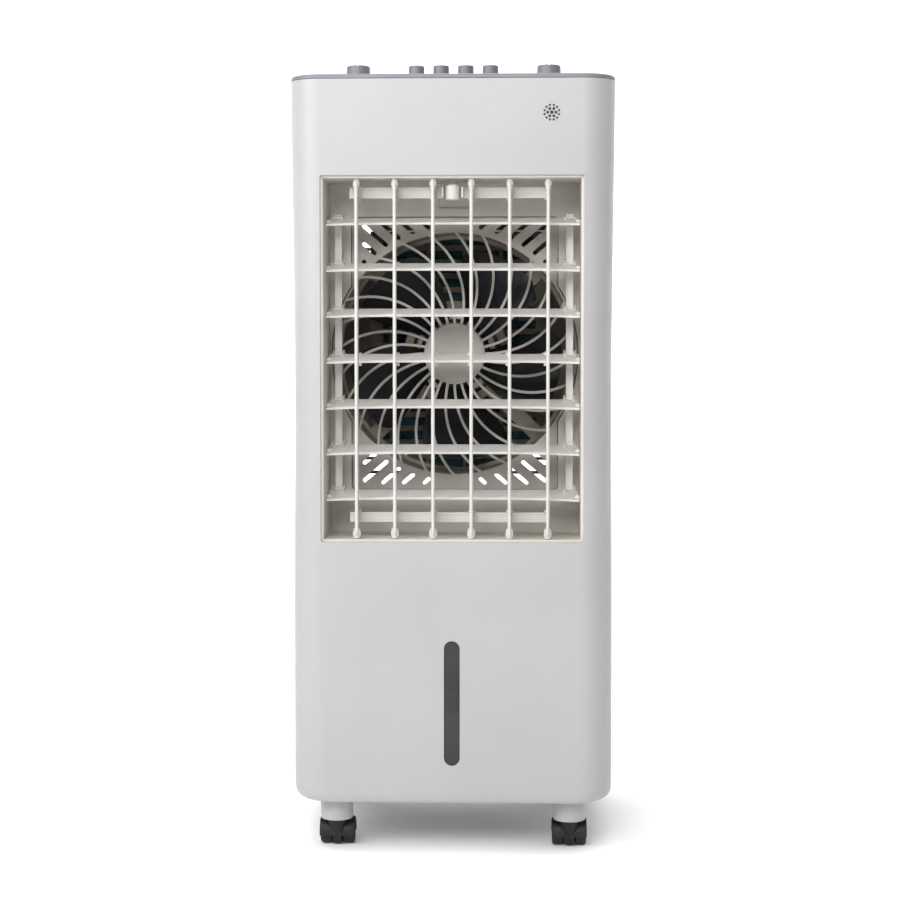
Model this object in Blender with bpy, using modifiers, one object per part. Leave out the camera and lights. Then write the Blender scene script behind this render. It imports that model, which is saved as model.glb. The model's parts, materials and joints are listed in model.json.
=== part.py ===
"""Evaporative cooler: a free-standing room air cooler on casters, built as separate parts.

Metres, +Z up. The origin is on the floor under the middle of the object. The air outlet
faces -Y, and +X is on the right of someone who looks at the outlet.
"""
import math

import bmesh
import bpy
from mathutils import Matrix, Vector

MM = 0.001
GAP = 0.3 * MM                 # between pieces that touch
PIN_PLAY = 0.3 * MM            # radial play of a pin in its hole

# Housing
BODY_FRONT = -125 * MM
BODY_BACK = 121 * MM
WALL = 2.5 * MM
SEAM_Y = -80 * MM              # front shell ahead of it, rear shell behind it
FRONT_CORNER = 28 * MM
REAR_CORNER = 18 * MM
SIDE_BOW = 3 * MM              # how far the sides swell between the corners
# height, half width, how far front and back are drawn in
HOUSING_SECTIONS = (
    (45.5 * MM, 132.7 * MM, 3.0 * MM),
    (51.0 * MM, 140.2 * MM, 0.4 * MM),
    (57.0 * MM, 141.7 * MM, 0.0),
    (230 * MM, 141.5 * MM, 0.0),
    (330 * MM, 140.6 * MM, 0.0),
    (430 * MM, 140.6 * MM, 0.0),
    (560 * MM, 142.0 * MM, 0.0),
    (682.5 * MM, 143.3 * MM, 0.0),
)
BODY_BOTTOM = HOUSING_SECTIONS[0][0]
BODY_TOP = HOUSING_SECTIONS[-1][0]
TOP_HALF_WIDTH = HOUSING_SECTIONS[-1][1]

# Side grips, one hollow in each side of the rear shell
GRIP_TOP = 577 * MM
GRIP_HEIGHT = 42 * MM
GRIP_DEPTH = 17 * MM
GRIP_FRONT = -66 * MM
GRIP_BACK = 10 * MM
GRIP_WALL = 2.2 * MM

# Air outlet
OUTLET_HALF = 115.5 * MM
OUTLET_BOTTOM = 277.1 * MM
OUTLET_TOP = 598.8 * MM
LINER_WALL = 2.4 * MM
LINER_HALF = 113.2 * MM        # inside
LINER_FLOOR = 279.3 * MM
LINER_CEILING = 596.6 * MM
LINER_FRONT = BODY_FRONT + WALL + 0.9 * MM
PLATE_FRONT = -50 * MM         # front of the back wall and of the fan grille

# Swing vanes, upright, in front
VANE_COUNT = 6
VANE_PITCH = 33.7 * MM
VANE_AXIS_Y = -116 * MM
VANE_AHEAD = 4 * MM
VANE_CHORD = 18 * MM
VANE_THICK = 3.0 * MM
VANE_LINK_ARM = 16.5 * MM      # from a vane's axis to its link pin
VANE_LINKS = (("vane_link_top", 580.1 * MM, 589.9 * MM), ("vane_link_bottom", 292.8 * MM, 301.7 * MM))

# Swing crank, a cam that turns in a yoke of the upper vane link
CAM_RADIUS = 6.2 * MM
CAM_THROW = 6.5 * MM
CRANK_Y = VANE_AXIS_Y + VANE_LINK_ARM
YOKE_HALF = 7.8 * MM

# Slats, level, behind the vanes
SLAT_COUNT = 7
SLAT_TOP_Z = 559.2 * MM
SLAT_PITCH = 40.8 * MM
SLAT_AXIS_Y = -92 * MM
SLAT_HALF = 112.6 * MM
SLAT_REAR = 20 * MM
SLAT_THICK = 1.8 * MM
SLAT_TILT = math.radians(14)   # front edge down
SLAT_LINK_X = 104.3 * MM
SLAT_LINK_ARM = 23.5 * MM
LINK_PIN = 1.2 * MM

# Fan
FAN_Z = 442.5 * MM
GRILLE_HALF_WIDTH = 94.2 * MM
GRILLE_HALF_HEIGHT = 124.4 * MM
GRILLE_RING = 112.4 * MM
GRILLE_OPENING = 110.2 * MM
GRILLE_HUB = 27.9 * MM
GRILLE_THICK = 3 * MM
RIB_COUNT = 28
RIB_WIDTH = 2.5 * MM
RIB_SWEEP = math.radians(25)
BLADE_COUNT = 5
BLADE_TIP = 98 * MM
HUB_RADIUS = 32 * MM
HUB_FRONT = -41.7 * MM
HUB_BACK = -12 * MM
SHAFT_RADIUS = 4 * MM
MOTOR_RADIUS = 41 * MM
DUCT_RADIUS = 110 * MM
DUCT_WALL = 2 * MM
DUCT_SEGMENTS = 32

# Controls
PANEL_BOTTOM = BODY_TOP + GAP
PANEL_TOP = 686.9 * MM
CONTROL_TOP = 699.3 * MM
CONTROL_Y = -80 * MM
KNOB_X = 85 * MM
KNOB_RADIUS = 11 * MM
BUTTON_X = (-33 * MM, -11 * MM, 11 * MM, 33 * MM)
BUTTON_RADIUS = 7.1 * MM

# Water system
DECK_Z = 199 * MM
TANK_HALF = 118 * MM
TANK_FLOOR = 51.3 * MM
TANK_TOP = 195 * MM
WINDOW_WIDTH = 13.3 * MM
WINDOW_BOTTOM = 79.5 * MM
WINDOW_TOP = 189.7 * MM
PAD_HALF = 85 * MM
PAD_BOTTOM = 326.5 * MM
PAD_FOOT_HALF = 50 * MM        # the pad narrows to this below its step
PAD_STEP = 345 * MM
PAD_TOP = 559.5 * MM
PAD_FRONT = 87 * MM
PAD_BACK = 107 * MM
HOSE_RADIUS = 4 * MM

# Rear intake
INTAKE_HALF = 105 * MM
INTAKE_BOTTOM = 261 * MM
INTAKE_TOP = 607 * MM

# Casters
CASTER_X = 104.5 * MM
CASTER_STEM_Y = (-94 * MM, 90 * MM)
CASTER_TRAIL = 9 * MM
WHEEL_RADIUS = 11 * MM
WHEEL_IN = 4.4 * MM
WHEEL_OUT = 15.2 * MM
SOCKET_RADIUS = 14.25 * MM
SOCKET_BOTTOM = 25.1 * MM

ALONG_X = Matrix.Rotation(math.radians(90), 4, "Y")
ALONG_Y = Matrix.Rotation(math.radians(-90), 4, "X")
FACING_Y = Matrix.Rotation(math.radians(90), 4, "X")       # a drawing's x, y become x, z
FACING_X = Matrix(((0, 0, 1, 0), (1, 0, 0, 0), (0, 1, 0, 0), (0, 0, 0, 1)))   # they become y, z

PALETTE = {
    "shell_white": ((0.72, 0.71, 0.70), 0.42),
    "panel_grey": ((0.31, 0.29, 0.33), 0.4),
    "grille_white": ((0.68, 0.65, 0.60), 0.45),
    "fan_black": ((0.02, 0.018, 0.03), 0.4),
    "caster_black": ((0.025, 0.024, 0.028), 0.5),
    "window_smoke": ((0.07, 0.07, 0.075), 0.2),
    "pad_teal": ((0.05, 0.16, 0.17), 0.9),
    "holder_beige": ((0.42, 0.38, 0.31), 0.5),
    "tank_clear": ((0.6, 0.63, 0.66), 0.3),
    "motor_steel": ((0.35, 0.35, 0.36), 0.4),
    "inner_grey": ((0.2, 0.2, 0.21), 0.5),
}
METALLIC = {"motor_steel": 0.8}


# ---------------------------------------------------------------- scene and materials

def clear_scene():
    for obj in list(bpy.data.objects):
        bpy.data.objects.remove(obj, do_unlink=True)


def new_collection(name):
    collection = bpy.data.collections.new(name)
    bpy.context.scene.collection.children.link(collection)
    return collection


def new_material(name):
    color, roughness = PALETTE[name]
    material = bpy.data.materials.new(name)
    material.use_nodes = True
    shader = material.node_tree.nodes["Principled BSDF"]
    shader.inputs["Base Color"].default_value = (*color, 1)
    shader.inputs["Roughness"].default_value = roughness
    shader.inputs["Metallic"].default_value = METALLIC.get(name, 0.0)
    return material


clear_scene()
MODEL = new_collection("evaporative_cooler")
MATERIALS = {name: new_material(name) for name in PALETTE}
ROOT = bpy.data.objects.new("evaporative_cooler_origin", None)
MODEL.objects.link(ROOT)


# ---------------------------------------------------------------- shape tools

def object_from(mesh):
    obj = bpy.data.objects.new("piece", mesh)
    MODEL.objects.link(obj)
    return obj


def object_from_bmesh(bm):
    mesh = bpy.data.meshes.new("piece")
    bmesh.ops.recalc_face_normals(bm, faces=bm.faces)
    bm.to_mesh(mesh)
    bm.free()
    return object_from(mesh)


def bake(obj):
    """Apply an object's modifiers to its mesh."""
    depsgraph = bpy.context.evaluated_depsgraph_get()
    mesh = bpy.data.meshes.new_from_object(obj.evaluated_get(depsgraph))
    obj.modifiers.clear()
    obj.data = mesh


def combine(target, tool, operation):
    modifier = target.modifiers.new("combine", "BOOLEAN")
    modifier.operation = operation
    modifier.solver = "EXACT"
    modifier.object = tool
    bake(target)
    bpy.data.objects.remove(tool)
    return target


def cut(target, *tools):
    for tool in tools:
        combine(target, tool, "DIFFERENCE")
    return target


def join(target, *tools):
    for tool in tools:
        combine(target, tool, "UNION")
    return target


def box(low, high):
    low = Vector(low)
    high = Vector(high)
    bm = bmesh.new()
    place = Matrix.Translation((low + high) / 2) @ Matrix.Diagonal((*(high - low), 1))
    bmesh.ops.create_cube(bm, size=1, matrix=place)
    return object_from_bmesh(bm)


def drum(radius, start, end, axis="Z", segments=24, top_radius=None):
    """A cylinder, or a cone, from one point to another along a main axis."""
    start = Vector(start)
    end = Vector(end)
    turn = {"X": ALONG_X, "Y": ALONG_Y, "Z": Matrix.Identity(4)}[axis]
    bm = bmesh.new()
    bmesh.ops.create_cone(
        bm, cap_ends=True, segments=segments, radius1=radius,
        radius2=radius if top_radius is None else top_radius, depth=(end - start).length,
        matrix=Matrix.Translation((start + end) / 2) @ turn)
    return object_from_bmesh(bm)


def plate(outlines, thickness, place):
    """Flat outlines, the inner ones as holes, filled and made thick on both sides."""
    curve = bpy.data.curves.new("outline", "CURVE")
    curve.dimensions = "2D"
    curve.fill_mode = "BOTH"
    curve.extrude = thickness / 2
    for points in outlines:
        spline = curve.splines.new("POLY")
        spline.points.add(len(points) - 1)
        for point, (x, y) in zip(spline.points, points):
            point.co = (x, y, 0, 1)
        spline.use_cyclic_u = True
    drawing = bpy.data.objects.new("outline", curve)
    MODEL.objects.link(drawing)
    depsgraph = bpy.context.evaluated_depsgraph_get()
    mesh = bpy.data.meshes.new_from_object(drawing.evaluated_get(depsgraph))
    bpy.data.objects.remove(drawing)
    bm = bmesh.new()
    bm.from_mesh(mesh)
    bmesh.ops.remove_doubles(bm, verts=bm.verts, dist=0.001 * MM)
    bmesh.ops.transform(bm, matrix=place, verts=bm.verts)
    return object_from_bmesh(bm)


def front_plate(outlines, front, back):
    """A plate drawn in x and z, between two depths."""
    place = Matrix.Translation((0, (front + back) / 2, 0)) @ FACING_Y
    return plate(outlines, back - front, place)


def level_plate(outlines, bottom, top):
    return plate(outlines, top - bottom, Matrix.Translation((0, 0, (bottom + top) / 2)))


def side_plate(outlines, left, right):
    """A plate drawn in y and z, between two places along X."""
    place = Matrix.Translation(((left + right) / 2, 0, 0)) @ FACING_X
    return plate(outlines, right - left, place)


def turned(profile, place, segments):
    """A profile of (radius, height) turned about Z, from its top down, then placed."""
    mesh = bpy.data.meshes.new("profile")
    points = [(radius, 0, height) for radius, height in profile]
    mesh.from_pydata(points, [(i, i + 1) for i in range(len(points) - 1)], [])
    obj = object_from(mesh)
    screw = obj.modifiers.new("turn", "SCREW")
    screw.steps = segments
    screw.render_steps = segments
    screw.use_merge_vertices = True
    screw.merge_threshold = 0.001 * MM
    bake(obj)
    bm = bmesh.new()
    bm.from_mesh(obj.data)
    bpy.data.objects.remove(obj)
    bmesh.ops.transform(bm, matrix=place, verts=bm.verts)
    return object_from_bmesh(bm)


def tube(points, radius):
    curve = bpy.data.curves.new("tube", "CURVE")
    curve.dimensions = "3D"
    curve.bevel_depth = radius
    curve.bevel_resolution = 1
    curve.use_fill_caps = True
    spline = curve.splines.new("POLY")
    spline.points.add(len(points) - 1)
    for point, place in zip(spline.points, points):
        point.co = (*place, 1)
    drawing = bpy.data.objects.new("tube", curve)
    MODEL.objects.link(drawing)
    depsgraph = bpy.context.evaluated_depsgraph_get()
    mesh = bpy.data.meshes.new_from_object(drawing.evaluated_get(depsgraph))
    bpy.data.objects.remove(drawing)
    bm = bmesh.new()
    bm.from_mesh(mesh)
    bmesh.ops.remove_doubles(bm, verts=bm.verts, dist=0.001 * MM)
    return object_from_bmesh(bm)


def loft(rings):
    """A closed solid through rings of equal point count, the lowest ring first."""
    bm = bmesh.new()
    rows = [[bm.verts.new(point) for point in ring] for ring in rings]
    count = len(rows[0])
    for low, high in zip(rows, rows[1:]):
        for i in range(count):
            j = (i + 1) % count
            bm.faces.new((low[i], low[j], high[j], high[i]))
    bm.faces.new(list(reversed(rows[0])))
    bm.faces.new(rows[-1])
    return object_from_bmesh(bm)


def arc(centre, radius, start, end, steps):
    """Points on an arc, both ends included; angles in degrees."""
    angles = [math.radians(start + (end - start) * i / steps) for i in range(steps + 1)]
    return [(centre[0] + radius * math.cos(a), centre[1] + radius * math.sin(a)) for a in angles]


def rounded_rectangle(low, high, radius, steps=3):
    corners = ((high[0] - radius, low[1] + radius, -90), (high[0] - radius, high[1] - radius, 0),
               (low[0] + radius, high[1] - radius, 90), (low[0] + radius, low[1] + radius, 180))
    points = []
    for x, y, angle in corners:
        points += arc((x, y), radius, angle, angle + 90, steps)
    return points


def rectangle(low, high):
    return [(low[0], low[1]), (high[0], low[1]), (high[0], high[1]), (low[0], high[1])]


def slot_outline(start, end, width, steps=3):
    """A round-ended slot between the centres of its two ends."""
    heading = math.degrees(math.atan2(end[1] - start[1], end[0] - start[0]))
    return (arc(start, width / 2, heading + 90, heading + 270, steps)
            + arc(end, width / 2, heading - 90, heading + 90, steps))


def finish(obj, name, material, pivot=(0, 0, 0), angle=0.0):
    """Name a piece, colour it, and put its origin on its joint's axis."""
    pivot = Vector(pivot)
    obj.data.transform(Matrix.Translation(-pivot))
    obj.name = name
    obj.data.name = name
    obj.data.materials.clear()
    obj.data.materials.append(MATERIALS[material])
    obj.data.shade_smooth()
    obj.data.set_sharp_from_angle(angle=math.radians(35))
    obj.location = pivot
    obj.rotation_euler.x = angle
    obj.parent = ROOT
    return obj


def copy_of(obj, name, place, angle=0.0):
    """Another object on the same mesh, with its own origin."""
    other = bpy.data.objects.new(name, obj.data)
    MODEL.objects.link(other)
    other.location = place
    other.rotation_euler.x = angle
    other.parent = ROOT
    return other


# ---------------------------------------------------------------- housing

def section_at(height):
    """Half width and end inset of the housing at a height, on straight lines between sections."""
    last = HOUSING_SECTIONS[-1]
    for low, high in zip(HOUSING_SECTIONS, HOUSING_SECTIONS[1:]):
        if height <= high[0]:
            share = max(0.0, (height - low[0]) / (high[0] - low[0]))
            return tuple(a + (b - a) * share for a, b in zip(low[1:], high[1:]))
    return last[1:]


def plan_ring(height, inset, at=None):
    """The housing's plan at a height, drawn in by an inset. at lends another height's shape."""
    half_width, end_inset = section_at(height if at is None else at)
    side = half_width - inset
    front = BODY_FRONT + end_inset + inset
    back = BODY_BACK - end_inset - inset
    front_radius = FRONT_CORNER - inset
    rear_radius = REAR_CORNER - inset
    half = arc((side - front_radius, front + front_radius), front_radius, -90, 0, 5)
    steps = 4
    for i in range(1, steps):
        share = i / steps
        y = (front + front_radius) * (1 - share) + (back - rear_radius) * share
        half.append((side + SIDE_BOW * 4 * share * (1 - share), y))
    half += arc((side - rear_radius, back - rear_radius), rear_radius, 0, 90, 3)
    plan = half + [(-x, y) for x, y in reversed(half)]
    return [(x, y, height) for x, y in plan]


def housing_solid():
    return loft([plan_ring(section[0], 0) for section in HOUSING_SECTIONS])


def housing_cavity():
    """The space inside the walls, run out through both ends."""
    over = 6 * MM
    rings = [plan_ring(BODY_BOTTOM - over, WALL, at=BODY_BOTTOM)]
    rings += [plan_ring(section[0], WALL) for section in HOUSING_SECTIONS]
    rings.append(plan_ring(BODY_TOP + over, WALL, at=BODY_TOP))
    return loft(rings)


def beyond_seam(front_side):
    """A block over everything on one side of the seam between the shells."""
    reach = 400 * MM
    if front_side:
        return box((-reach, -reach, -reach), (reach, SEAM_Y + GAP / 2, 2 * reach))
    return box((-reach, SEAM_Y - GAP / 2, -reach), (reach, reach, 2 * reach))


def make_front_shell():
    shell = cut(housing_solid(), beyond_seam(False), housing_cavity())
    opening = rounded_rectangle((-OUTLET_HALF, OUTLET_BOTTOM), (OUTLET_HALF, OUTLET_TOP), 2 * MM, 2)
    window_half = WINDOW_WIDTH / 2 + GAP
    window = slot_outline((0, WINDOW_BOTTOM + window_half - GAP), (0, WINDOW_TOP - window_half + GAP),
                          2 * window_half, 6)
    through = (BODY_FRONT - 5 * MM, BODY_FRONT + 10 * MM)
    cut(shell, front_plate([opening], *through), front_plate([window], *through))
    finish(shell, "front_shell", "shell_white")


def grip_solid(side, grow):
    """The hollow of a side grip: a flat roof and a back that runs out to the wall below."""
    wall_x = section_at(GRIP_TOP)[0]
    outside = wall_x + 12 * MM
    roof = GRIP_TOP + grow
    deep = wall_x - GRIP_DEPTH - grow
    steps = 5
    outline = [(outside, roof), (deep, roof)]
    for i in range(steps + 1):
        share = i / steps
        outline.append((deep + (outside - deep) * share ** 2,
                        roof - 6 * MM - (GRIP_HEIGHT + 2 * grow) * math.sin(share * math.pi / 2)))
    outline = [(side * x, z) for x, z in outline]
    return front_plate([outline], GRIP_FRONT - grow, GRIP_BACK + grow)


def make_rear_shell():
    cavity = housing_cavity()
    for side in (1, -1):
        cut(cavity, grip_solid(side, GRIP_WALL))
    shell = cut(housing_solid(), beyond_seam(True), cavity)
    for side in (1, -1):
        cut(shell, grip_solid(side, 0))
    inside = BODY_BACK - 15 * MM
    outside = BODY_BACK + 10 * MM
    tank_half = TANK_HALF + 0.8 * MM
    cut(shell,
        box((-INTAKE_HALF, inside, INTAKE_BOTTOM), (INTAKE_HALF, outside, INTAKE_TOP)),
        box((-tank_half, inside, TANK_FLOOR - 0.7 * MM), (tank_half, outside, TANK_TOP + 0.8 * MM)),
        drum(LATCH_PIN + PIN_PLAY, (0, inside, LATCH_Z), (0, outside, LATCH_Z), "Y", 12),
        drum(GLAND_RADIUS + PIN_PLAY, (GLAND_X, inside, GLAND_Z), (GLAND_X, outside, GLAND_Z), "Y", 16))
    finish(shell, "rear_shell", "shell_white")


def make_base_pan():
    inset = WALL + 0.4 * MM
    heights = (46.0 * MM, 47.5 * MM, 50 * MM)
    pan = loft([plan_ring(height, inset) for height in heights])
    rail_in = TANK_HALF + 1.6 * MM
    for side in (1, -1):
        rail = sorted((side * rail_in, side * (rail_in + 1.8 * MM)))
        join(pan, box((rail[0], -105 * MM, 49 * MM), (rail[1], 108 * MM, 61 * MM)))
        for y in CASTER_STEM_Y:
            x = side * CASTER_X
            join(pan, drum(SOCKET_RADIUS, (x, y, SOCKET_BOTTOM), (x, y, 47 * MM), segments=14))
    for side in (1, -1):
        for y in CASTER_STEM_Y:
            x = side * CASTER_X
            cut(pan, drum(STEM_RADIUS + 0.8 * MM, (x, y, 20 * MM), (x, y, 44 * MM), segments=8))
    finish(pan, "base_pan", "shell_white")


def make_top_panel():
    rim = ((PANEL_BOTTOM, 0.2 * MM), (684.8 * MM, 0.0), (686.2 * MM, 0.8 * MM), (PANEL_TOP, 2.4 * MM))
    panel = loft([plan_ring(height, inset, at=BODY_TOP) for height, inset in rim])
    skirt_inset = WALL + 0.4 * MM
    skirt_bottom = BODY_TOP - 7 * MM
    skirt = loft([plan_ring(height, skirt_inset, at=BODY_TOP) for height in (skirt_bottom, 684 * MM)])
    hollow = loft([plan_ring(height, skirt_inset + 2 * MM, at=BODY_TOP)
                   for height in (skirt_bottom - 5 * MM, PANEL_BOTTOM)])
    cut(join(panel, skirt), hollow)
    tray = rounded_rectangle((-108 * MM, -48 * MM), (108 * MM, 96 * MM), 12 * MM, 2)
    cut(panel, level_plate([tray], PANEL_TOP - 1 * MM, PANEL_TOP + 5 * MM))
    for x in (-KNOB_X, KNOB_X):
        cut(panel, drum(KNOB_SHAFT + 0.6 * MM, (x, CONTROL_Y, 670 * MM), (x, CONTROL_Y, 700 * MM), segments=10))
    for x in BUTTON_X:
        cut(panel, drum(BUTTON_RADIUS + 0.4 * MM, (x, CONTROL_Y, 670 * MM), (x, CONTROL_Y, 700 * MM),
                        segments=14))
    finish(panel, "top_panel", "panel_grey")


# ---------------------------------------------------------------- air outlet

def vane_x(index):
    return (index - (VANE_COUNT - 1) / 2) * VANE_PITCH


def slat_z(index):
    return SLAT_TOP_Z - index * SLAT_PITCH


def make_outlet_frame():
    outer = LINER_HALF + LINER_WALL
    floor = LINER_FLOOR - LINER_WALL
    ceiling = LINER_CEILING + LINER_WALL
    back = PLATE_FRONT + LINER_WALL
    frame = box((-outer, LINER_FRONT, floor), (outer, back, ceiling))
    flange = 5.5 * MM
    side_flange = 1.2 * MM
    join(frame, box((-outer - side_flange, LINER_FRONT, floor - flange),
                    (outer + side_flange, LINER_FRONT + 2 * MM, ceiling + flange)))
    cut(frame, box((-LINER_HALF, LINER_FRONT - 10 * MM, LINER_FLOOR),
                   (LINER_HALF, PLATE_FRONT, LINER_CEILING)))
    window = rounded_rectangle((-GRILLE_HALF_WIDTH - GAP, FAN_Z - GRILLE_HALF_HEIGHT - GAP),
                               (GRILLE_HALF_WIDTH + GAP, FAN_Z + GRILLE_HALF_HEIGHT + GAP), 4 * MM)
    cut(frame,
        front_plate([window], PLATE_FRONT - 5 * MM, back + 5 * MM),
        drum(GRILLE_RING + 0.7 * MM, (0, PLATE_FRONT - 5 * MM, FAN_Z), (0, back + 5 * MM, FAN_Z), "Y", 48),
        box((-14.5 * MM, PLATE_FRONT - 5 * MM, 575 * MM), (14.5 * MM, PLATE_FRONT + 1.4 * MM, 594.5 * MM)),
        drum(4.6 * MM, (0, CRANK_Y, LINER_CEILING - 5 * MM), (0, CRANK_Y, ceiling + 5 * MM), segments=12))
    for i in range(SLAT_COUNT):
        cut(frame, drum(SLAT_PIN + PIN_PLAY, (-outer - 9 * MM, SLAT_AXIS_Y, slat_z(i)),
                        (outer + 9 * MM, SLAT_AXIS_Y, slat_z(i)), "X", 6))
    for i in range(VANE_COUNT):
        cut(frame, drum(VANE_PIN + PIN_PLAY, (vane_x(i), VANE_AXIS_Y, floor - 5 * MM),
                        (vane_x(i), VANE_AXIS_Y, ceiling + 5 * MM), segments=6))
    finish(frame, "outlet_frame", "grille_white")


def slat_front(x):
    """Front edge of a slat, which sweeps forward towards its ends."""
    return -(4 + 5.6 * abs(x / SLAT_HALF) ** 3.5) * MM


def make_slats():
    steps = 8
    xs = [SLAT_HALF * (2 * i / steps - 1) for i in range(steps + 1)]
    rear = SLAT_REAR
    notch = 3.7 * MM
    rear_edge = [(SLAT_HALF, rear)]
    for link_x in (SLAT_LINK_X, -SLAT_LINK_X):
        rear_edge += [(link_x + notch, rear), (link_x + notch, rear - 4 * MM),
                      (link_x - notch, rear - 4 * MM), (link_x - notch, rear)]
    rear_edge.append((-SLAT_HALF, rear))
    outline = [(x, slat_front(x)) for x in xs] + rear_edge
    slat = level_plate([outline], -SLAT_THICK / 2, SLAT_THICK / 2)
    fork = LINK_PIN + PIN_PLAY
    tip = SLAT_LINK_ARM + 3 * MM
    ear = [(14 * MM, -2.6 * MM), (tip, -3 * MM), (tip, -fork), (SLAT_LINK_ARM - fork, -fork),
           (SLAT_LINK_ARM - fork, fork), (tip, fork), (tip, 3 * MM), (14 * MM, 2.6 * MM)]
    for side in (1, -1):
        ear_x = side * SLAT_LINK_X + 4.55 * MM
        join(slat, side_plate([ear], ear_x - 0.8 * MM, ear_x + 0.8 * MM))
        ends = sorted((side * (SLAT_HALF - 4 * MM), side * (LINER_HALF + 2 * MM)))
        join(slat, drum(SLAT_PIN, (ends[0], 0, 0), (ends[1], 0, 0), "X", 6))
    finish(slat, "slat_1", "grille_white")
    slat.location = (0, SLAT_AXIS_Y, slat_z(0))
    slat.rotation_euler.x = SLAT_TILT
    for i in range(1, SLAT_COUNT):
        copy_of(slat, f"slat_{i + 1}", (0, SLAT_AXIS_Y, slat_z(i)), SLAT_TILT)


def make_slat_links():
    pivot_y = SLAT_AXIS_Y + SLAT_LINK_ARM * math.cos(SLAT_TILT)
    pivot_z = slat_z(0) + SLAT_LINK_ARM * math.sin(SLAT_TILT)
    reach = 6 * MM
    bar = box((-3.25 * MM, -1.5 * MM, -(SLAT_COUNT - 1) * SLAT_PITCH - 3.8 * MM),
              (3.25 * MM, 1.5 * MM, 3.2 * MM))
    for i in range(SLAT_COUNT):
        z = -i * SLAT_PITCH
        join(bar, drum(LINK_PIN, (1 * MM, 0, z), (reach, 0, z), "X", 6))
    finish(bar, "slat_link_left", "grille_white")
    bar.location = (-SLAT_LINK_X, pivot_y, pivot_z)
    copy_of(bar, "slat_link_right", (SLAT_LINK_X, pivot_y, pivot_z))


def make_vanes():
    low = LINER_FLOOR + 0.4 * MM
    high = LINER_CEILING - 0.4 * MM
    half = VANE_THICK / 2
    rear = VANE_CHORD - VANE_AHEAD
    vane = box((-half, -VANE_AHEAD, low + 4 * MM), (half, rear, high - 4 * MM))
    for start, end in ((low, low + 9 * MM), (high - 9 * MM, high)):
        join(vane, drum(3 * MM, (0, 0, start), (0, 0, end), segments=8))
    for start, end in ((LINER_FLOOR - 2.1 * MM, low + 1 * MM), (high - 1 * MM, LINER_CEILING + 2.1 * MM)):
        join(vane, drum(VANE_PIN, (0, 0, start), (0, 0, end), segments=6))
    fork = LINK_PIN + PIN_PLAY
    tip = VANE_LINK_ARM + 3 * MM
    wing = 2.8 * MM
    tab = [(-wing, 10 * MM), (wing, 10 * MM), (wing, tip), (fork, tip), (fork, VANE_LINK_ARM - fork),
           (-fork, VANE_LINK_ARM - fork), (-fork, tip), (-wing, tip)]
    for bottom in (VANE_LINKS[0][1] - 2.2 * MM, VANE_LINKS[1][2] + 0.6 * MM):
        join(vane, level_plate([tab], bottom, bottom + 1.6 * MM))
    finish(vane, "vane_1", "grille_white")
    vane.location = (vane_x(0), VANE_AXIS_Y, 0)
    for i in range(1, VANE_COUNT):
        copy_of(vane, f"vane_{i + 1}", (vane_x(i), VANE_AXIS_Y, 0))


def make_vane_links():
    left = -91.6 * MM
    right = 86.9 * MM
    pivot = Vector((vane_x(0), CRANK_Y, 0))
    for name, low, high in VANE_LINKS:
        yoke = name == "vane_link_top"
        inner = YOKE_HALF + 0.9 * MM
        if yoke:
            bar = box((left, CRANK_Y - 1 * MM, low), (-inner, CRANK_Y + 1 * MM, high))
            rear = CAM_RADIUS + CAM_THROW + 0.5 * MM
            outer = YOKE_HALF + 1.8 * MM
            join(bar, box((-outer, CRANK_Y + rear, low), (outer, CRANK_Y + rear + 1.8 * MM, high)))
            for side in (1, -1):
                prong = sorted((side * YOKE_HALF, side * outer))
                join(bar, box((prong[0], CRANK_Y - 8 * MM, low + 0.01 * MM),
                              (prong[1], CRANK_Y + rear + 1 * MM, high - 0.01 * MM)))
            join(bar, box((inner, CRANK_Y - 1 * MM, low), (right, CRANK_Y + 1 * MM, high)))
            pins = (low - 2.6 * MM, low + 1 * MM)
        else:
            bar = box((left, CRANK_Y - 1 * MM, low), (right, CRANK_Y + 1 * MM, high))
            pins = (high - 1 * MM, high + 2.5 * MM)
        for i in range(VANE_COUNT):
            x = vane_x(i)
            join(bar, drum(LINK_PIN, (x, CRANK_Y, pins[0]), (x, CRANK_Y, pins[1]), segments=6))
        finish(bar, name, "grille_white", pivot)


def make_swing_crank():
    cam_y = CRANK_Y - CAM_THROW
    cam_top = 590.8 * MM
    crank = drum(CAM_RADIUS, (0, cam_y, 578.4 * MM), (0, cam_y, cam_top), segments=16)
    join(crank,
         box((-3.5 * MM, cam_y, cam_top - 0.4 * MM), (3.5 * MM, CRANK_Y, cam_top + 1.6 * MM)),
         drum(4 * MM, (0, CRANK_Y, cam_top - 0.3 * MM), (0, CRANK_Y, 600 * MM), segments=16),
         drum(3 * MM, (0, CRANK_Y, 599 * MM), (0, CRANK_Y, 612 * MM), segments=12))
    finish(crank, "swing_crank", "shell_white", (0, CRANK_Y, 0))


def make_swing_motor():
    centre_y = CRANK_Y + 4 * MM
    bottom = 600.6 * MM
    top = 618 * MM
    motor = drum(22 * MM, (0, centre_y, bottom), (0, centre_y, top), segments=20)
    for side in (1, -1):
        ends = sorted((side * 18 * MM, side * 30 * MM))
        join(motor, box((ends[0], centre_y - 5 * MM, bottom + 0.5 * MM),
                        (ends[1], centre_y + 5 * MM, bottom + 2 * MM)))
    cut(motor, drum(3 * MM + PIN_PLAY, (0, CRANK_Y, bottom - 5 * MM), (0, CRANK_Y, 613 * MM), segments=12))
    finish(motor, "swing_motor", "motor_steel")


# ---------------------------------------------------------------- fan

def rib_angle(radius):
    """How far a swirl rib has turned at a radius, counted from its root."""
    share = (radius - GRILLE_HUB) / (GRILLE_OPENING - GRILLE_HUB)
    return RIB_SWEEP * share ** 1.55


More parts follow.
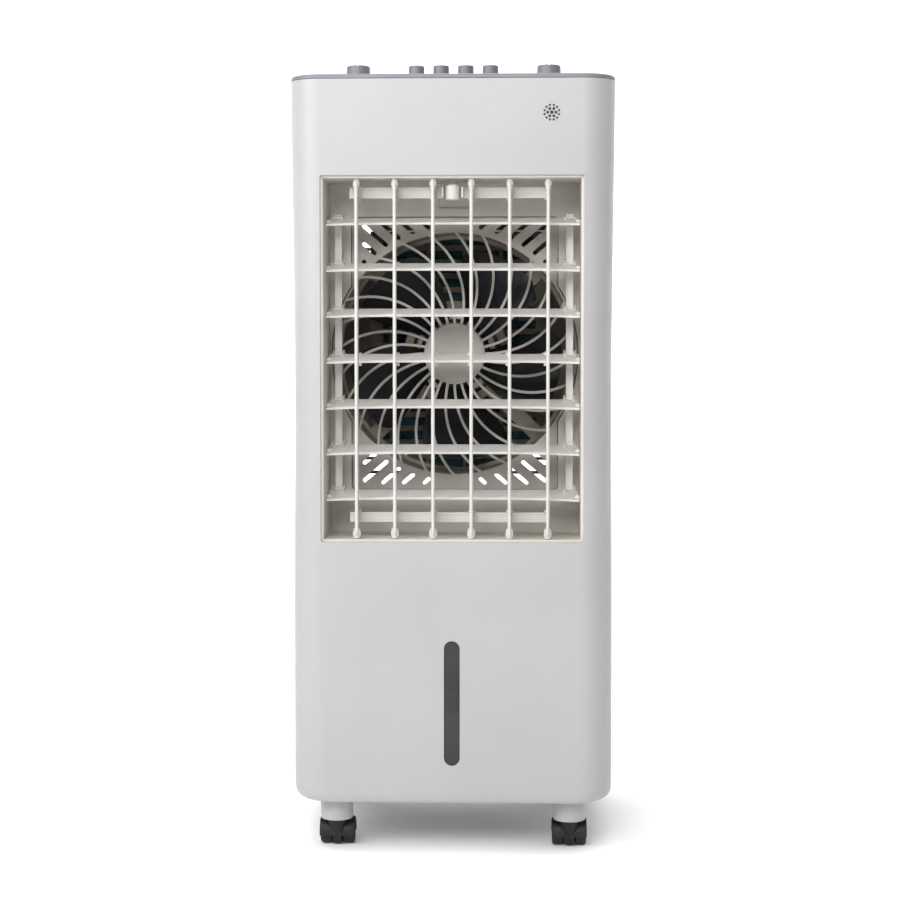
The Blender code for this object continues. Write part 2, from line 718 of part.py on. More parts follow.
def rib_half_angle(radius):
    """Half a rib's width as an angle about the fan's axis."""
    step = 0.1 * MM
    slope = radius * (rib_angle(radius + step) - rib_angle(radius)) / step
    return RIB_WIDTH / 2 * math.sqrt(1 + slope ** 2) / radius


def polar(radius, angle):
    return (radius * math.cos(angle), FAN_Z + radius * math.sin(angle))


def rib_opening(index):
    """Outline of the gap between one rib and the next."""
    pitch = 2 * math.pi / RIB_COUNT
    start = index * pitch
    steps = 4
    radii = [GRILLE_HUB + (GRILLE_OPENING - GRILLE_HUB) * (i / steps) ** 0.85 for i in range(steps + 1)]
    lead = [polar(r, start + rib_angle(r) + rib_half_angle(r)) for r in radii]
    trail = [polar(r, start + pitch + rib_angle(r) - rib_half_angle(r)) for r in radii]
    middle_out = polar(GRILLE_OPENING, start + pitch / 2 + RIB_SWEEP)
    return lead + [middle_out] + list(reversed(trail))


def corner_slots():
    """Parallel slots in the grille's four corners, from the ring's margin to the plate's edge."""
    slope = math.radians(40.5)
    width = 3.3 * MM
    inner = 115.5 * MM + width / 2
    reach_x = 84.5 * MM - width / 2
    reach_z = 120.0 * MM - width / 2
    slots = []
    for up in (1, -1):
        offsets = [22.3 * MM + 12.4 * MM * k for k in range(5)]
        if up == 1:
            offsets.insert(0, 9.9 * MM)
        for side in (1, -1):
            for offset in offsets:
                start = math.sqrt(inner ** 2 - offset ** 2)
                end = min((reach_x + offset * math.sin(slope)) / math.cos(slope),
                          (reach_z - offset * math.cos(slope)) / math.sin(slope))
                ends = []
                for along in (start, max(end, start + 0.5 * MM)):
                    x = along * math.cos(slope) - offset * math.sin(slope)
                    z = along * math.sin(slope) + offset * math.cos(slope)
                    ends.append((side * x, FAN_Z + up * z))
                slots.append(slot_outline(ends[0], ends[1], width, 2))
    return slots


def grille_outline():
    """The rectangle and the ring as one outline, starting on the ring's right side."""
    x = GRILLE_HALF_WIDTH
    z = GRILLE_HALF_HEIGHT
    meet = math.degrees(math.acos(x / GRILLE_RING))
    radius = 3.5 * MM
    right = arc((0, 0), GRILLE_RING, -meet, meet, 6)
    corner = arc((x - radius, z - radius), radius, 0, 90, 2)
    half = right + corner
    half += [(-px, pz) for px, pz in reversed(corner)]
    left = [(-px, pz) for px, pz in reversed(right)]
    below = [(px, -pz) for px, pz in reversed(half[len(right):])]
    return [(px, FAN_Z + pz) for px, pz in half + left + below]


def make_fan_grille():
    outlines = [grille_outline()]
    outlines += [rib_opening(i) for i in range(RIB_COUNT)]
    outlines += corner_slots()
    back = PLATE_FRONT + GRILLE_THICK
    grille = front_plate(outlines, PLATE_FRONT, back)
    hub = drum(GRILLE_HUB - 0.4 * MM, (0, PLATE_FRONT - 1.5 * MM, FAN_Z), (0, back - 1 * MM, FAN_Z), "Y", 28)
    join(grille, hub)
    finish(grille, "fan_grille", "grille_white")


def make_fan_shroud():
    """A plain duct with a flange against the grille."""
    front = PLATE_FRONT + GRILLE_THICK + GAP
    back = -4 * MM
    outer = DUCT_RADIUS + DUCT_WALL
    flange = DUCT_RADIUS + 3.6 * MM
    shroud = drum(outer, (0, front, FAN_Z), (0, back, FAN_Z), "Y", DUCT_SEGMENTS)
    join(shroud, drum(flange, (0, front, FAN_Z), (0, front + 2 * MM, FAN_Z), "Y", DUCT_SEGMENTS))
    cut(shroud, drum(DUCT_RADIUS, (0, front - 5 * MM, FAN_Z), (0, back + 5 * MM, FAN_Z), "Y", DUCT_SEGMENTS))
    finish(shroud, "fan_shroud", "holder_beige")


def blade():
    """One twisted blade, from inside the hub out to the tip."""
    radial_steps = 4
    chord_steps = 4
    bm = bmesh.new()
    rows = []
    for i in range(radial_steps + 1):
        share = i / radial_steps
        radius = 27 * MM + (BLADE_TIP - 27 * MM) * share
        half_span = math.radians(24 + 4 * math.sin(math.pi * share))
        pitch = math.radians(36 - 15 * share)
        row = []
        for j in range(chord_steps + 1):
            along = 2 * j / chord_steps - 1
            angle = half_span * along + math.radians(10) * share
            camber = 2.2 * MM * (1 - along ** 2)
            depth = radius * half_span * along * math.tan(pitch) - camber
            row.append(bm.verts.new((radius * math.cos(angle), radius * math.sin(angle), -depth)))
        rows.append(row)
    for low, high in zip(rows, rows[1:]):
        for j in range(chord_steps):
            bm.faces.new((low[j], low[j + 1], high[j + 1], high[j]))
    obj = object_from_bmesh(bm)
    thick = obj.modifiers.new("thickness", "SOLIDIFY")
    thick.thickness = 2 * MM
    thick.offset = 0
    bake(obj)
    return obj


def make_fan_impeller():
    centre_y = (HUB_FRONT + HUB_BACK) / 2
    impeller = drum(HUB_RADIUS, (0, HUB_FRONT, FAN_Z), (0, HUB_BACK, FAN_Z), "Y", 24)
    for i in range(BLADE_COUNT):
        wing = blade()
        wing.data.transform(Matrix.Rotation(2 * math.pi * i / BLADE_COUNT + math.radians(-20), 4, "Z"))
        wing.data.transform(Matrix.Translation((0, centre_y, FAN_Z)) @ FACING_Y)
        join(impeller, wing)
    cut(impeller, drum(SHAFT_RADIUS + GAP, (0, HUB_FRONT - 5 * MM, FAN_Z), (0, HUB_BACK + 5 * MM, FAN_Z),
                       "Y", 12))
    finish(impeller, "fan_impeller", "fan_black", (0, 0, FAN_Z))


def make_fan_drive():
    shaft = drum(SHAFT_RADIUS, (0, -45.8 * MM, FAN_Z), (0, 30 * MM, FAN_Z), "Y", 12)
    finish(shaft, "fan_shaft", "motor_steel", (0, 0, FAN_Z))
    nut = drum(8 * MM, (0, -45.4 * MM, FAN_Z), (0, HUB_FRONT - GAP, FAN_Z), "Y", 6)
    cut(nut, drum(SHAFT_RADIUS + GAP, (0, -60 * MM, FAN_Z), (0, 0, FAN_Z), "Y", 12))
    finish(nut, "fan_nut", "fan_black", (0, 0, FAN_Z))
    motor = drum(MOTOR_RADIUS - 4 * MM, (0, -8 * MM, FAN_Z), (0, -2 * MM, FAN_Z), "Y", 24,
                 top_radius=MOTOR_RADIUS)
    join(motor,
         drum(MOTOR_RADIUS, (0, -2.5 * MM, FAN_Z), (0, 40 * MM, FAN_Z), "Y", 24),
         drum(14 * MM, (0, 39 * MM, FAN_Z), (0, 46 * MM, FAN_Z), "Y", 14))
    cut(motor, drum(SHAFT_RADIUS + PIN_PLAY, (0, -20 * MM, FAN_Z), (0, 33 * MM, FAN_Z), "Y", 12))
    finish(motor, "fan_motor", "motor_steel")


def make_motor_bracket():
    """A ring round the motor on four arms from the back of the duct."""
    front = -3.6 * MM
    back = 0.4 * MM
    outer = DUCT_RADIUS + DUCT_WALL
    bracket = drum(outer, (0, front, FAN_Z), (0, back, FAN_Z), "Y", DUCT_SEGMENTS)
    cut(bracket, drum(DUCT_RADIUS - 3 * MM, (0, front - 5 * MM, FAN_Z), (0, back + 5 * MM, FAN_Z), "Y", DUCT_SEGMENTS))
    ring = drum(MOTOR_RADIUS + 8 * MM, (0, front, FAN_Z), (0, back + 4 * MM, FAN_Z), "Y", 24)
    arm = 7 * MM
    reach = DUCT_RADIUS - 1 * MM
    for turn in (45, 135):
        strip = box((-reach, front + 0.01 * MM, -arm), (reach, back - 0.01 * MM, arm))
        strip.data.transform(Matrix.Translation((0, 0, FAN_Z)) @ Matrix.Rotation(math.radians(turn), 4, "Y"))
        join(ring, strip)
    join(bracket, ring)
    cut(bracket, drum(MOTOR_RADIUS + 0.5 * MM, (0, front - 5 * MM, FAN_Z), (0, back + 9 * MM, FAN_Z), "Y", 24))
    finish(bracket, "motor_bracket", "holder_beige")


# ---------------------------------------------------------------- controls

KNOB_SHAFT = 3 * MM
SWITCH_TOP = 672 * MM


def make_knob(name, x):
    bottom = PANEL_TOP + 0.5 * MM
    top = CONTROL_TOP
    edge = 1.2 * MM
    profile = [(0, top), (KNOB_RADIUS - edge - 0.4 * MM, top), (KNOB_RADIUS - 0.4 * MM, top - edge),
               (KNOB_RADIUS, bottom + 1 * MM), (KNOB_RADIUS, bottom), (0, bottom)]
    knob = turned(profile, Matrix.Translation((x, CONTROL_Y, 0)), 20)
    join(knob, drum(KNOB_SHAFT, (x, CONTROL_Y, 664 * MM), (x, CONTROL_Y, bottom + 2 * MM), segments=8))
    cut(knob, box((x - 0.7 * MM, CONTROL_Y - KNOB_RADIUS - 1 * MM, top - 0.8 * MM),
                  (x + 0.7 * MM, CONTROL_Y - 3 * MM, top + 1 * MM)))
    finish(knob, name, "panel_grey", (x, CONTROL_Y, 0))


def make_button(name, x):
    edge = 1.2 * MM
    collar = BUTTON_RADIUS + 1.5 * MM
    profile = [(0, CONTROL_TOP), (BUTTON_RADIUS - edge, CONTROL_TOP), (BUTTON_RADIUS, CONTROL_TOP - edge),
               (BUTTON_RADIUS, 682 * MM), (collar, 682 * MM), (collar, 679.5 * MM), (2.5 * MM, 679.5 * MM),
               (2.5 * MM, 668 * MM), (0, 668 * MM)]
    button = turned(profile, Matrix.Translation((x, CONTROL_Y, 0)), 14)
    finish(button, name, "panel_grey", (x, CONTROL_Y, CONTROL_TOP))


def make_controls():
    make_knob("timer_knob", -KNOB_X)
    make_knob("function_knob", KNOB_X)
    for i, x in enumerate(BUTTON_X):
        make_button(f"button_{i + 1}", x)
    block = box((-46 * MM, CONTROL_Y - 11 * MM, 642 * MM), (46 * MM, CONTROL_Y + 11 * MM, SWITCH_TOP))
    for x in BUTTON_X:
        cut(block, drum(2.5 * MM + PIN_PLAY, (x, CONTROL_Y, 660 * MM), (x, CONTROL_Y, 680 * MM), segments=8))
    finish(block, "button_switch", "inner_grey")
    bore = KNOB_SHAFT + PIN_PLAY
    timer = drum(19 * MM, (-KNOB_X, CONTROL_Y, 645 * MM), (-KNOB_X, CONTROL_Y, SWITCH_TOP), segments=24)
    cut(timer, drum(bore, (-KNOB_X, CONTROL_Y, 660 * MM), (-KNOB_X, CONTROL_Y, 680 * MM), segments=12))
    finish(timer, "timer_switch", "motor_steel")
    half = 15 * MM
    selector = box((KNOB_X - half, CONTROL_Y - half, 652 * MM), (KNOB_X + half, CONTROL_Y + half, SWITCH_TOP))
    cut(selector, drum(bore, (KNOB_X, CONTROL_Y, 660 * MM), (KNOB_X, CONTROL_Y, 680 * MM), segments=12))
    finish(selector, "function_switch", "inner_grey")


# ---------------------------------------------------------------- water system

PUMP_LOW = Vector((64, 62, 56)) * MM
PUMP_HIGH = Vector((106, 100, 94)) * MM
RISER_X = 98 * MM
RISER_Y = 88 * MM
HOSE_X = 113 * MM
HOSE_Y = 95 * MM
TROUGH_BOTTOM = 563 * MM
TROUGH_TOP = 578 * MM


def make_level_window():
    half = WINDOW_WIDTH / 2
    ends = ((0, WINDOW_BOTTOM + half), (0, WINDOW_TOP - half))
    seat = BODY_FRONT + WALL + GAP
    window = front_plate([slot_outline(*ends, WINDOW_WIDTH, 6)], BODY_FRONT + 0.5 * MM, seat + 1 * MM)
    join(window, front_plate([slot_outline(*ends, WINDOW_WIDTH + 7 * MM, 6)], seat, seat + 1.8 * MM))
    finish(window, "level_window", "window_smoke")


def make_water_tank():
    front = -118.5 * MM
    back = BODY_BACK - 0.2 * MM
    wall = 2.2 * MM
    tank = box((-TANK_HALF, front, TANK_FLOOR), (TANK_HALF, back, TANK_TOP))
    cut(tank, box((-TANK_HALF + wall, front + wall, TANK_FLOOR + wall),
                  (TANK_HALF - wall, 106 * MM, TANK_TOP + 9 * MM)))
    grip = rounded_rectangle((-48 * MM, 148 * MM), (48 * MM, 174 * MM), 8 * MM, 3)
    cut(tank, front_plate([grip], 110 * MM, BODY_BACK + 5 * MM))
    finish(tank, "water_tank", "tank_clear")


LATCH_Z = 209 * MM
LATCH_PIN = 2.5 * MM


def make_tank_latch():
    """A turn button, stored open; a quarter turn brings it down over the tank's edge."""
    inside = BODY_BACK - WALL - GAP
    lever = front_plate([slot_outline((0, LATCH_Z), (22 * MM, LATCH_Z), 11 * MM, 5)],
                        BODY_BACK + 0.4 * MM, BODY_BACK + 3.6 * MM)
    join(lever,
         drum(LATCH_PIN, (0, inside - 1 * MM, LATCH_Z), (0, BODY_BACK + 2 * MM, LATCH_Z), "Y", 12),
         drum(5 * MM, (0, inside - 2.2 * MM, LATCH_Z), (0, inside, LATCH_Z), "Y", 16))
    finish(lever, "tank_latch", "inner_grey", (0, 0, LATCH_Z))


def make_mid_deck():
    inset = WALL + 0.6 * MM
    deck = loft([plan_ring(height, inset) for height in (DECK_Z, DECK_Z + 3 * MM)])
    cut(deck,
        drum(9 * MM, (RISER_X, RISER_Y, 190 * MM), (RISER_X, RISER_Y, 210 * MM), segments=16),
        box((-70 * MM, 80 * MM, 190 * MM), (60 * MM, 106 * MM, 210 * MM)))
    finish(deck, "mid_deck", "shell_white")


def make_pump():
    pump = box(PUMP_LOW, PUMP_HIGH)
    join(pump,
         drum(5 * MM, (RISER_X, RISER_Y, 90 * MM), (RISER_X, RISER_Y, 99 * MM), segments=12),
         box((66 * MM, 70 * MM, 92 * MM), (76 * MM, 74 * MM, DECK_Z - GAP)))
    finish(pump, "pump", "inner_grey")


def smooth_route(stations, pieces):
    """Points on a Catmull-Rom curve through the stations."""
    points = [Vector(station) for station in stations]
    padded = [2 * points[0] - points[1]] + points + [2 * points[-1] - points[-2]]
    route = []
    for a, b, c, d in zip(padded, padded[1:], padded[2:], padded[3:]):
        for i in range(pieces):
            t = i / pieces
            route.append(0.5 * ((2 * b) + (c - a) * t + (2 * a - 5 * b + 4 * c - d) * t ** 2
                                + (3 * b - a - 3 * c + d) * t ** 3))
    route.append(points[-1])
    return route


def make_supply_hose():
    stations = [(RISER_X, RISER_Y, 99.4 * MM), (RISER_X, RISER_Y, 150 * MM), (RISER_X, RISER_Y, 200 * MM),
                (HOSE_X - 2 * MM, HOSE_Y - 2 * MM, 245 * MM), (HOSE_X, HOSE_Y, 300 * MM),
                (HOSE_X, HOSE_Y, 370 * MM), (HOSE_X, HOSE_Y, 440 * MM), (HOSE_X, HOSE_Y, 510 * MM),
                (HOSE_X, HOSE_Y, 550 * MM), (HOSE_X - 7 * MM, HOSE_Y, 567 * MM),
                (PAD_HALF + 6.4 * MM, HOSE_Y, 571 * MM)]
    hose = tube(smooth_route(stations, 2), HOSE_RADIUS)
    finish(hose, "supply_hose", "tank_clear")


def make_distributor():
    half = PAD_HALF + 2 * MM
    front = 84 * MM
    back = 110 * MM
    trough = box((-half, front, TROUGH_BOTTOM), (half, back, TROUGH_TOP))
    cut(trough, box((-half + 2 * MM, front + 2 * MM, TROUGH_BOTTOM + 2 * MM),
                    (half - 2 * MM, back - 2 * MM, TROUGH_TOP + 9 * MM)))
    holes = 5
    for i in range(holes):
        x = (i - (holes - 1) / 2) * 34 * MM
        cut(trough, drum(1.6 * MM, (x, 97 * MM, TROUGH_BOTTOM - 5 * MM), (x, 97 * MM, TROUGH_BOTTOM + 9 * MM),
                         segments=6))
    join(trough, drum(3 * MM, (half - 1 * MM, HOSE_Y, 571 * MM), (half + 3.8 * MM, HOSE_Y, 571 * MM), "X", 12))
    finish(trough, "distributor", "holder_beige")


def pad_form(grow, front, back):
    """The pad's form with its narrower foot, made larger all round by grow."""
    half = PAD_HALF + grow
    foot = PAD_FOOT_HALF + grow
    form = box((-half, front, PAD_STEP - grow), (half, back, PAD_TOP + grow))
    foot_form = box((-foot, front, PAD_BOTTOM - grow), (foot, back, PAD_STEP + 10 * MM))
    return join(form, foot_form)


def make_pad_frame():
    """Tray round the pad: closed rim, open back, level bars across the front."""
    rim = 2 * MM
    wall = 1.7 * MM
    front = 84 * MM
    back = 110 * MM
    thickness = 2.4 * MM
    border = 12 * MM
    bar = 5.6 * MM
    pitch = 13.6 * MM
    rows = 17
    first = (PAD_BOTTOM + PAD_TOP) / 2 - (rows * pitch - bar) / 2
    frame = pad_form(rim, front, back)
    cut(frame, pad_form(rim - wall, front + thickness, back + 5 * MM))
    for i in range(rows):
        z = first + i * pitch
        reach = (PAD_HALF if z > PAD_STEP else PAD_FOOT_HALF) + rim - border
        cut(frame, box((-reach, front - 5 * MM, z), (reach, front + 5 * MM, z + pitch - bar)))
    finish(frame, "pad_frame", "holder_beige")


def make_cooling_pad():
    finish(pad_form(0, PAD_FRONT, PAD_BACK), "cooling_pad", "pad_teal")


def make_rear_grille():
    """Intake frame with level bars, which pulls off backwards."""
    half = INTAKE_HALF + 3 * MM
    bottom = INTAKE_BOTTOM - 3 * MM
    top = INTAKE_TOP + 3 * MM
    rows = 15
    bar = 3.4 * MM
    low = INTAKE_BOTTOM + 7 * MM
    pitch = (INTAKE_TOP - 7 * MM - low + bar) / rows
    outlines = [rounded_rectangle((-half, bottom), (half, top), 5 * MM, 2)]
    for i in range(rows):
        z = low + i * pitch
        for side in (1, -1):
            ends = sorted((side * 3 * MM, side * (INTAKE_HALF - 6 * MM)))
            outlines.append(rectangle((ends[0], z), (ends[1], z + pitch - bar)))
    grille = front_plate(outlines, BODY_BACK + 0.4 * MM, BODY_BACK + 4 * MM)
    lip = INTAKE_HALF - 0.5 * MM
    low_lip = INTAKE_BOTTOM + 0.5 * MM
    top_lip = INTAKE_TOP - 0.5 * MM
    wall = 2.6 * MM
    join(grille, front_plate([rectangle((-lip, low_lip), (lip, top_lip)),
                              rectangle((-lip + wall, low_lip + wall), (lip - wall, top_lip - wall))],
                             113 * MM, BODY_BACK + 2 * MM))
    finish(grille, "rear_grille", "shell_white")


GLAND_X = -98 * MM
GLAND_Z = 230 * MM
GLAND_RADIUS = 4.7 * MM


def make_cord_gland():
    back = BODY_BACK
    gland = drum(GLAND_RADIUS, (GLAND_X, back - 8 * MM, GLAND_Z), (GLAND_X, back + 1 * MM, GLAND_Z), "Y", 16)
    join(gland, drum(7.5 * MM, (GLAND_X, back + 0.4 * MM, GLAND_Z), (GLAND_X, back + 3 * MM, GLAND_Z), "Y", 16))
    cut(gland, drum(3 * MM, (GLAND_X, back - 20 * MM, GLAND_Z), (GLAND_X, back + 20 * MM, GLAND_Z), "Y", 12))
    finish(gland, "cord_gland", "inner_grey")


# ---------------------------------------------------------------- casters

STEM_RADIUS = 4.2 * MM
SLAT_PIN = 1.5 * MM
VANE_PIN = 1.5 * MM


def make_caster_hood():
    """Hood of a twin-wheel caster about its stem, with a web between the wheels."""
    cover = WHEEL_RADIUS + 2 * MM
    clear = WHEEL_RADIUS + 0.6 * MM
    web = WHEEL_IN - 0.5 * MM
    side = WHEEL_OUT + 0.5 * MM
    y = CASTER_TRAIL
    z = WHEEL_RADIUS
    hood = drum(cover, (-side, y, z), (side, y, z), "X", 20)
    join(hood, drum(6.5 * MM, (0, 0, 12 * MM), (0, 0, SOCKET_BOTTOM - 0.5 * MM), segments=10))
    for turn in (1, -1):
        ends = sorted((turn * web, turn * (side + 9 * MM)))
        cut(hood,
            drum(clear, (ends[0], y, z), (ends[1], y, z), "X", 18),
            box((ends[0], y - 40 * MM, -9 * MM), (ends[1], y + 40 * MM, 9 * MM)))
    cut(hood, box((-side - 1 * MM, y - 40 * MM, -9 * MM), (side + 1 * MM, y + 40 * MM, 3.4 * MM)))
    join(hood, drum(STEM_RADIUS, (0, 0, 23 * MM), (0, 0, 43 * MM), segments=8))
    cut(hood, drum(2 * MM + PIN_PLAY, (-9 * MM, y, z), (9 * MM, y, z), "X", 8))
    return hood


def make_caster_wheels():
    """Both wheels and their axle, turned in one piece about X."""
    r = WHEEL_RADIUS
    half = [(0, WHEEL_OUT), (r * 0.8, WHEEL_OUT), (r, WHEEL_OUT - 2.4 * MM), (r, WHEEL_IN), (2 * MM, WHEEL_IN)]
    profile = half + [(radius, -height) for radius, height in reversed(half)]
    return turned(profile, ALONG_X, 16)


def make_casters():
    hood_mesh = make_caster_hood()
    wheels_mesh = make_caster_wheels()
    first = True
    corner = 0
    for y in CASTER_STEM_Y:
        for side in (-1, 1):
            corner += 1
            stem = (side * CASTER_X, y, 0)
            axle = (side * CASTER_X, y + CASTER_TRAIL, WHEEL_RADIUS)
            if first:
                finish(hood_mesh, f"caster_hood_{corner}", "caster_black")
                hood_mesh.location = stem
                finish(wheels_mesh, f"caster_wheels_{corner}", "caster_black")
                wheels_mesh.location = axle
                first = False
            else:
                copy_of(hood_mesh, f"caster_hood_{corner}", stem)
                copy_of(wheels_mesh, f"caster_wheels_{corner}", axle)


# ---------------------------------------------------------------- the whole object

def build():
    make_front_shell()
    make_rear_shell()
    make_base_pan()
    make_top_panel()
    make_outlet_frame()
    make_slats()
    make_slat_links()
    make_vanes()
    make_vane_links()
    make_swing_crank()
    make_swing_motor()
    make_fan_grille()
    make_fan_shroud()
    make_fan_impeller()
    make_fan_drive()
    make_motor_bracket()
    make_controls()
    make_level_window()
    make_water_tank()
    make_tank_latch()
    make_mid_deck()
    make_pump()
    make_supply_hose()
    make_distributor()
    make_pad_frame()
    make_cooling_pad()
    make_rear_grille()
    make_cord_gland()
    make_casters()


build()
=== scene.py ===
"""Looks of the evaporative cooler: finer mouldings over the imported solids, their materials, and the studio.

Metres, +Z up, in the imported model's own frame. The air outlet faces -Y.
"""
import json
import math

import bmesh
import bpy
from mathutils import Matrix, Vector


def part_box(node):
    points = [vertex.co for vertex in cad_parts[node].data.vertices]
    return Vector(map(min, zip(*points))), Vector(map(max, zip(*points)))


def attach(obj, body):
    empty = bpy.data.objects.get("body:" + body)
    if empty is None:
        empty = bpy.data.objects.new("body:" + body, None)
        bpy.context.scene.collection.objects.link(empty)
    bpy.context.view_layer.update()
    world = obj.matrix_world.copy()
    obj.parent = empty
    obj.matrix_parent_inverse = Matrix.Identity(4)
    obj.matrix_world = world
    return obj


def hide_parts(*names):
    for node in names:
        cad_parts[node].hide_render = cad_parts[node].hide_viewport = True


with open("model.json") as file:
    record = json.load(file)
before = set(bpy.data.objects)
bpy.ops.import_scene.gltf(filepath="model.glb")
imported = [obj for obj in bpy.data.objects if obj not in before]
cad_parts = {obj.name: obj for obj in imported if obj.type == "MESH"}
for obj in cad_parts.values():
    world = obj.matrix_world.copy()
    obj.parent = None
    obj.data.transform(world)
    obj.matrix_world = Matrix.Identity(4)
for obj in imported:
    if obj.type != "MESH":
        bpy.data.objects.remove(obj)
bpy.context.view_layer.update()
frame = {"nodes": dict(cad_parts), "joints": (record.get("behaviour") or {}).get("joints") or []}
JOINTS = {joint["name"]: joint for joint in frame["joints"]}
MM = 0.001


def mm(*values):
    """Lengths or points given in millimetres, as a list in metres."""
    return [tuple(mm(*value)) if isinstance(value, tuple) else value * MM for value in values]


def move(x, y, z):
    return Matrix.Translation((x, y, z))


def axis_of(joint, index=1):
    """Where a joint's axis is; the followers of a joint are numbered from 2."""
    return Vector(JOINTS[joint if index == 1 else f"{joint}_{index}"]["pos_m"])


ALONG_X = Matrix.Rotation(math.radians(90), 4, "Y")
ALONG_Y = Matrix.Rotation(math.radians(-90), 4, "X")
FACING_Y = Matrix.Rotation(math.radians(90), 4, "X")
FACING_X = Matrix(((0, 0, 1, 0), (1, 0, 0, 0), (0, 1, 0, 0), (0, 0, 0, 1)))
TURN = {"X": ALONG_X, "Y": ALONG_Y, "Z": Matrix.Identity(4)}


# ---------------------------------------------------------------- materials

class Graph:
    """Short names for building one material's nodes."""

    def __init__(self, name):
        self.material = bpy.data.materials.new(name)
        self.material.use_nodes = True
        self.nodes = self.material.node_tree.nodes
        self.links = self.material.node_tree.links
        self.shader = self.nodes["Principled BSDF"]
        self.place = self.nodes.new("ShaderNodeTexCoord").outputs["Object"]

    def set(self, **values):
        for key, value in values.items():
            self.shader.inputs[key.replace("_", " ")].default_value = value

    def stretched(self, scale):
        mapping = self.nodes.new("ShaderNodeMapping")
        mapping.inputs["Scale"].default_value = scale
        self.links.new(self.place, mapping.inputs["Vector"])
        return mapping.outputs["Vector"]

    def noise(self, scale, detail=3.0, roughness=0.5, stretch=None):
        node = self.nodes.new("ShaderNodeTexNoise")
        node.inputs["Scale"].default_value = scale
        node.inputs["Detail"].default_value = detail
        node.inputs["Roughness"].default_value = roughness
        source = self.place if stretch is None else self.stretched(stretch)
        self.links.new(source, node.inputs["Vector"])
        return node.outputs["Fac"]

    def wave(self, scale, stretch, distortion=0.0):
        node = self.nodes.new("ShaderNodeTexWave")
        node.bands_direction = "Z"
        node.inputs["Scale"].default_value = scale
        node.inputs["Distortion"].default_value = distortion
        self.links.new(self.stretched(stretch), node.inputs["Vector"])
        return node.outputs["Fac"]

    def ramp(self, value, low, high, out_low=0.0, out_high=1.0):
        node = self.nodes.new("ShaderNodeMapRange")
        node.inputs["From Min"].default_value = low
        node.inputs["From Max"].default_value = high
        node.inputs["To Min"].default_value = out_low
        node.inputs["To Max"].default_value = out_high
        self.links.new(value, node.inputs["Value"])
        return node.outputs["Result"]

    def mix(self, factor, first, second):
        node = self.nodes.new("ShaderNodeMix")
        node.data_type = "RGBA"
        self.links.new(factor, node.inputs["Factor"])
        for socket, value in zip((node.inputs[6], node.inputs[7]), (first, second)):
            if isinstance(value, tuple):
                socket.default_value = (*value, 1)
            else:
                self.links.new(value, socket)
        return node.outputs[2]

    def color(self, value):
        self.links.new(value, self.shader.inputs["Base Color"])

    def roughness(self, value):
        self.links.new(value, self.shader.inputs["Roughness"])

    def bump(self, height, strength, distance, before=None):
        node = self.nodes.new("ShaderNodeBump")
        node.inputs["Strength"].default_value = strength
        node.inputs["Distance"].default_value = distance
        self.links.new(height, node.inputs["Height"])
        if before is not None:
            self.links.new(before, node.inputs["Normal"])
        self.links.new(node.outputs["Normal"], self.shader.inputs["Normal"])
        return node.outputs["Normal"]


def moulded(name, color, shade, roughness, grain=1400, smudge=None):
    """Injection-moulded plastic: slow tint drift, a fine spark-eroded grain and uneven gloss."""
    g = Graph(name)
    tint = g.mix(g.ramp(g.noise(9, 4), 0.35, 0.7), color, shade)
    if smudge is not None:
        marks = g.ramp(g.noise(34, 8, 0.72, (1.0, 1.0, 0.55)), 0.66, 0.8, 0.0, 0.5)
        tint = g.mix(marks, tint, smudge)
    g.color(tint)
    g.roughness(g.ramp(g.noise(60, 5), 0.3, 0.75, roughness - 0.06, roughness + 0.07))
    waves = g.bump(g.noise(26, 2), 0.12, 0.4 * MM)
    g.bump(g.noise(grain, 2), 0.05, 0.1 * MM, waves)
    return g.material


def dark_plastic(name, specular, blotch, colors, gloss, roughness, grain, brushed=False):
    """Dark plastic; blotch and gloss each give a noise's scale and detail, and its ramp's two limits."""
    g = Graph(name)
    g.color(g.mix(g.ramp(g.noise(*blotch[:2]), *blotch[2:]), *colors))
    g.roughness(g.ramp(g.noise(*gloss[:2]), *gloss[2:], *roughness))
    g.set(Specular_IOR_Level=specular)
    lines = g.bump(g.noise(420, 2, 0.5, (0.08, 1.0, 1.0)), 0.16, 0.15 * MM) if brushed else None
    g.bump(g.noise(grain[0], 2), grain[1], 0.1 * MM, lines)
    return g.material


def cellulose():
    """Wet corrugated cellulose: two tones in random blotches, with a fibrous surface."""
    g = Graph("cellulose_pad")
    fibre = g.noise(900, 5, 0.6, (1.0, 1.0, 0.25))
    blotch = g.ramp(g.noise(45, 5), 0.35, 0.7)
    base = g.mix(blotch, (0.03, 0.105, 0.115), (0.06, 0.175, 0.185))
    g.color(g.mix(g.ramp(fibre, 0.45, 0.8, 0.0, 0.55), base, (0.11, 0.22, 0.22)))
    g.roughness(g.ramp(fibre, 0.3, 0.7, 0.7, 0.95))
    g.bump(fibre, 0.5, 0.5 * MM)
    return g.material


def pressed_steel(name, color, roughness):
    g = Graph(name)
    brushed = g.noise(260, 6, 0.7, (1.0, 0.06, 1.0))
    g.color(g.mix(g.ramp(brushed, 0.3, 0.75), color, tuple(0.72 * c for c in color)))
    g.roughness(g.ramp(brushed, 0.3, 0.75, roughness - 0.08, roughness + 0.12))
    g.set(Metallic=0.9)
    g.bump(brushed, 0.1, 0.1 * MM)
    return g.material


def cloudy_plastic(name, color, shade, amount):
    """Unpainted polypropylene, which lets some light in."""
    g = Graph(name)
    g.color(g.mix(g.ramp(g.noise(16, 4), 0.35, 0.7), color, shade))
    g.roughness(g.ramp(g.noise(150, 4), 0.3, 0.75, 0.3, 0.46))
    g.set(Transmission_Weight=amount, IOR=1.48)
    g.bump(g.noise(500, 3), 0.06, 0.15 * MM)
    return g.material


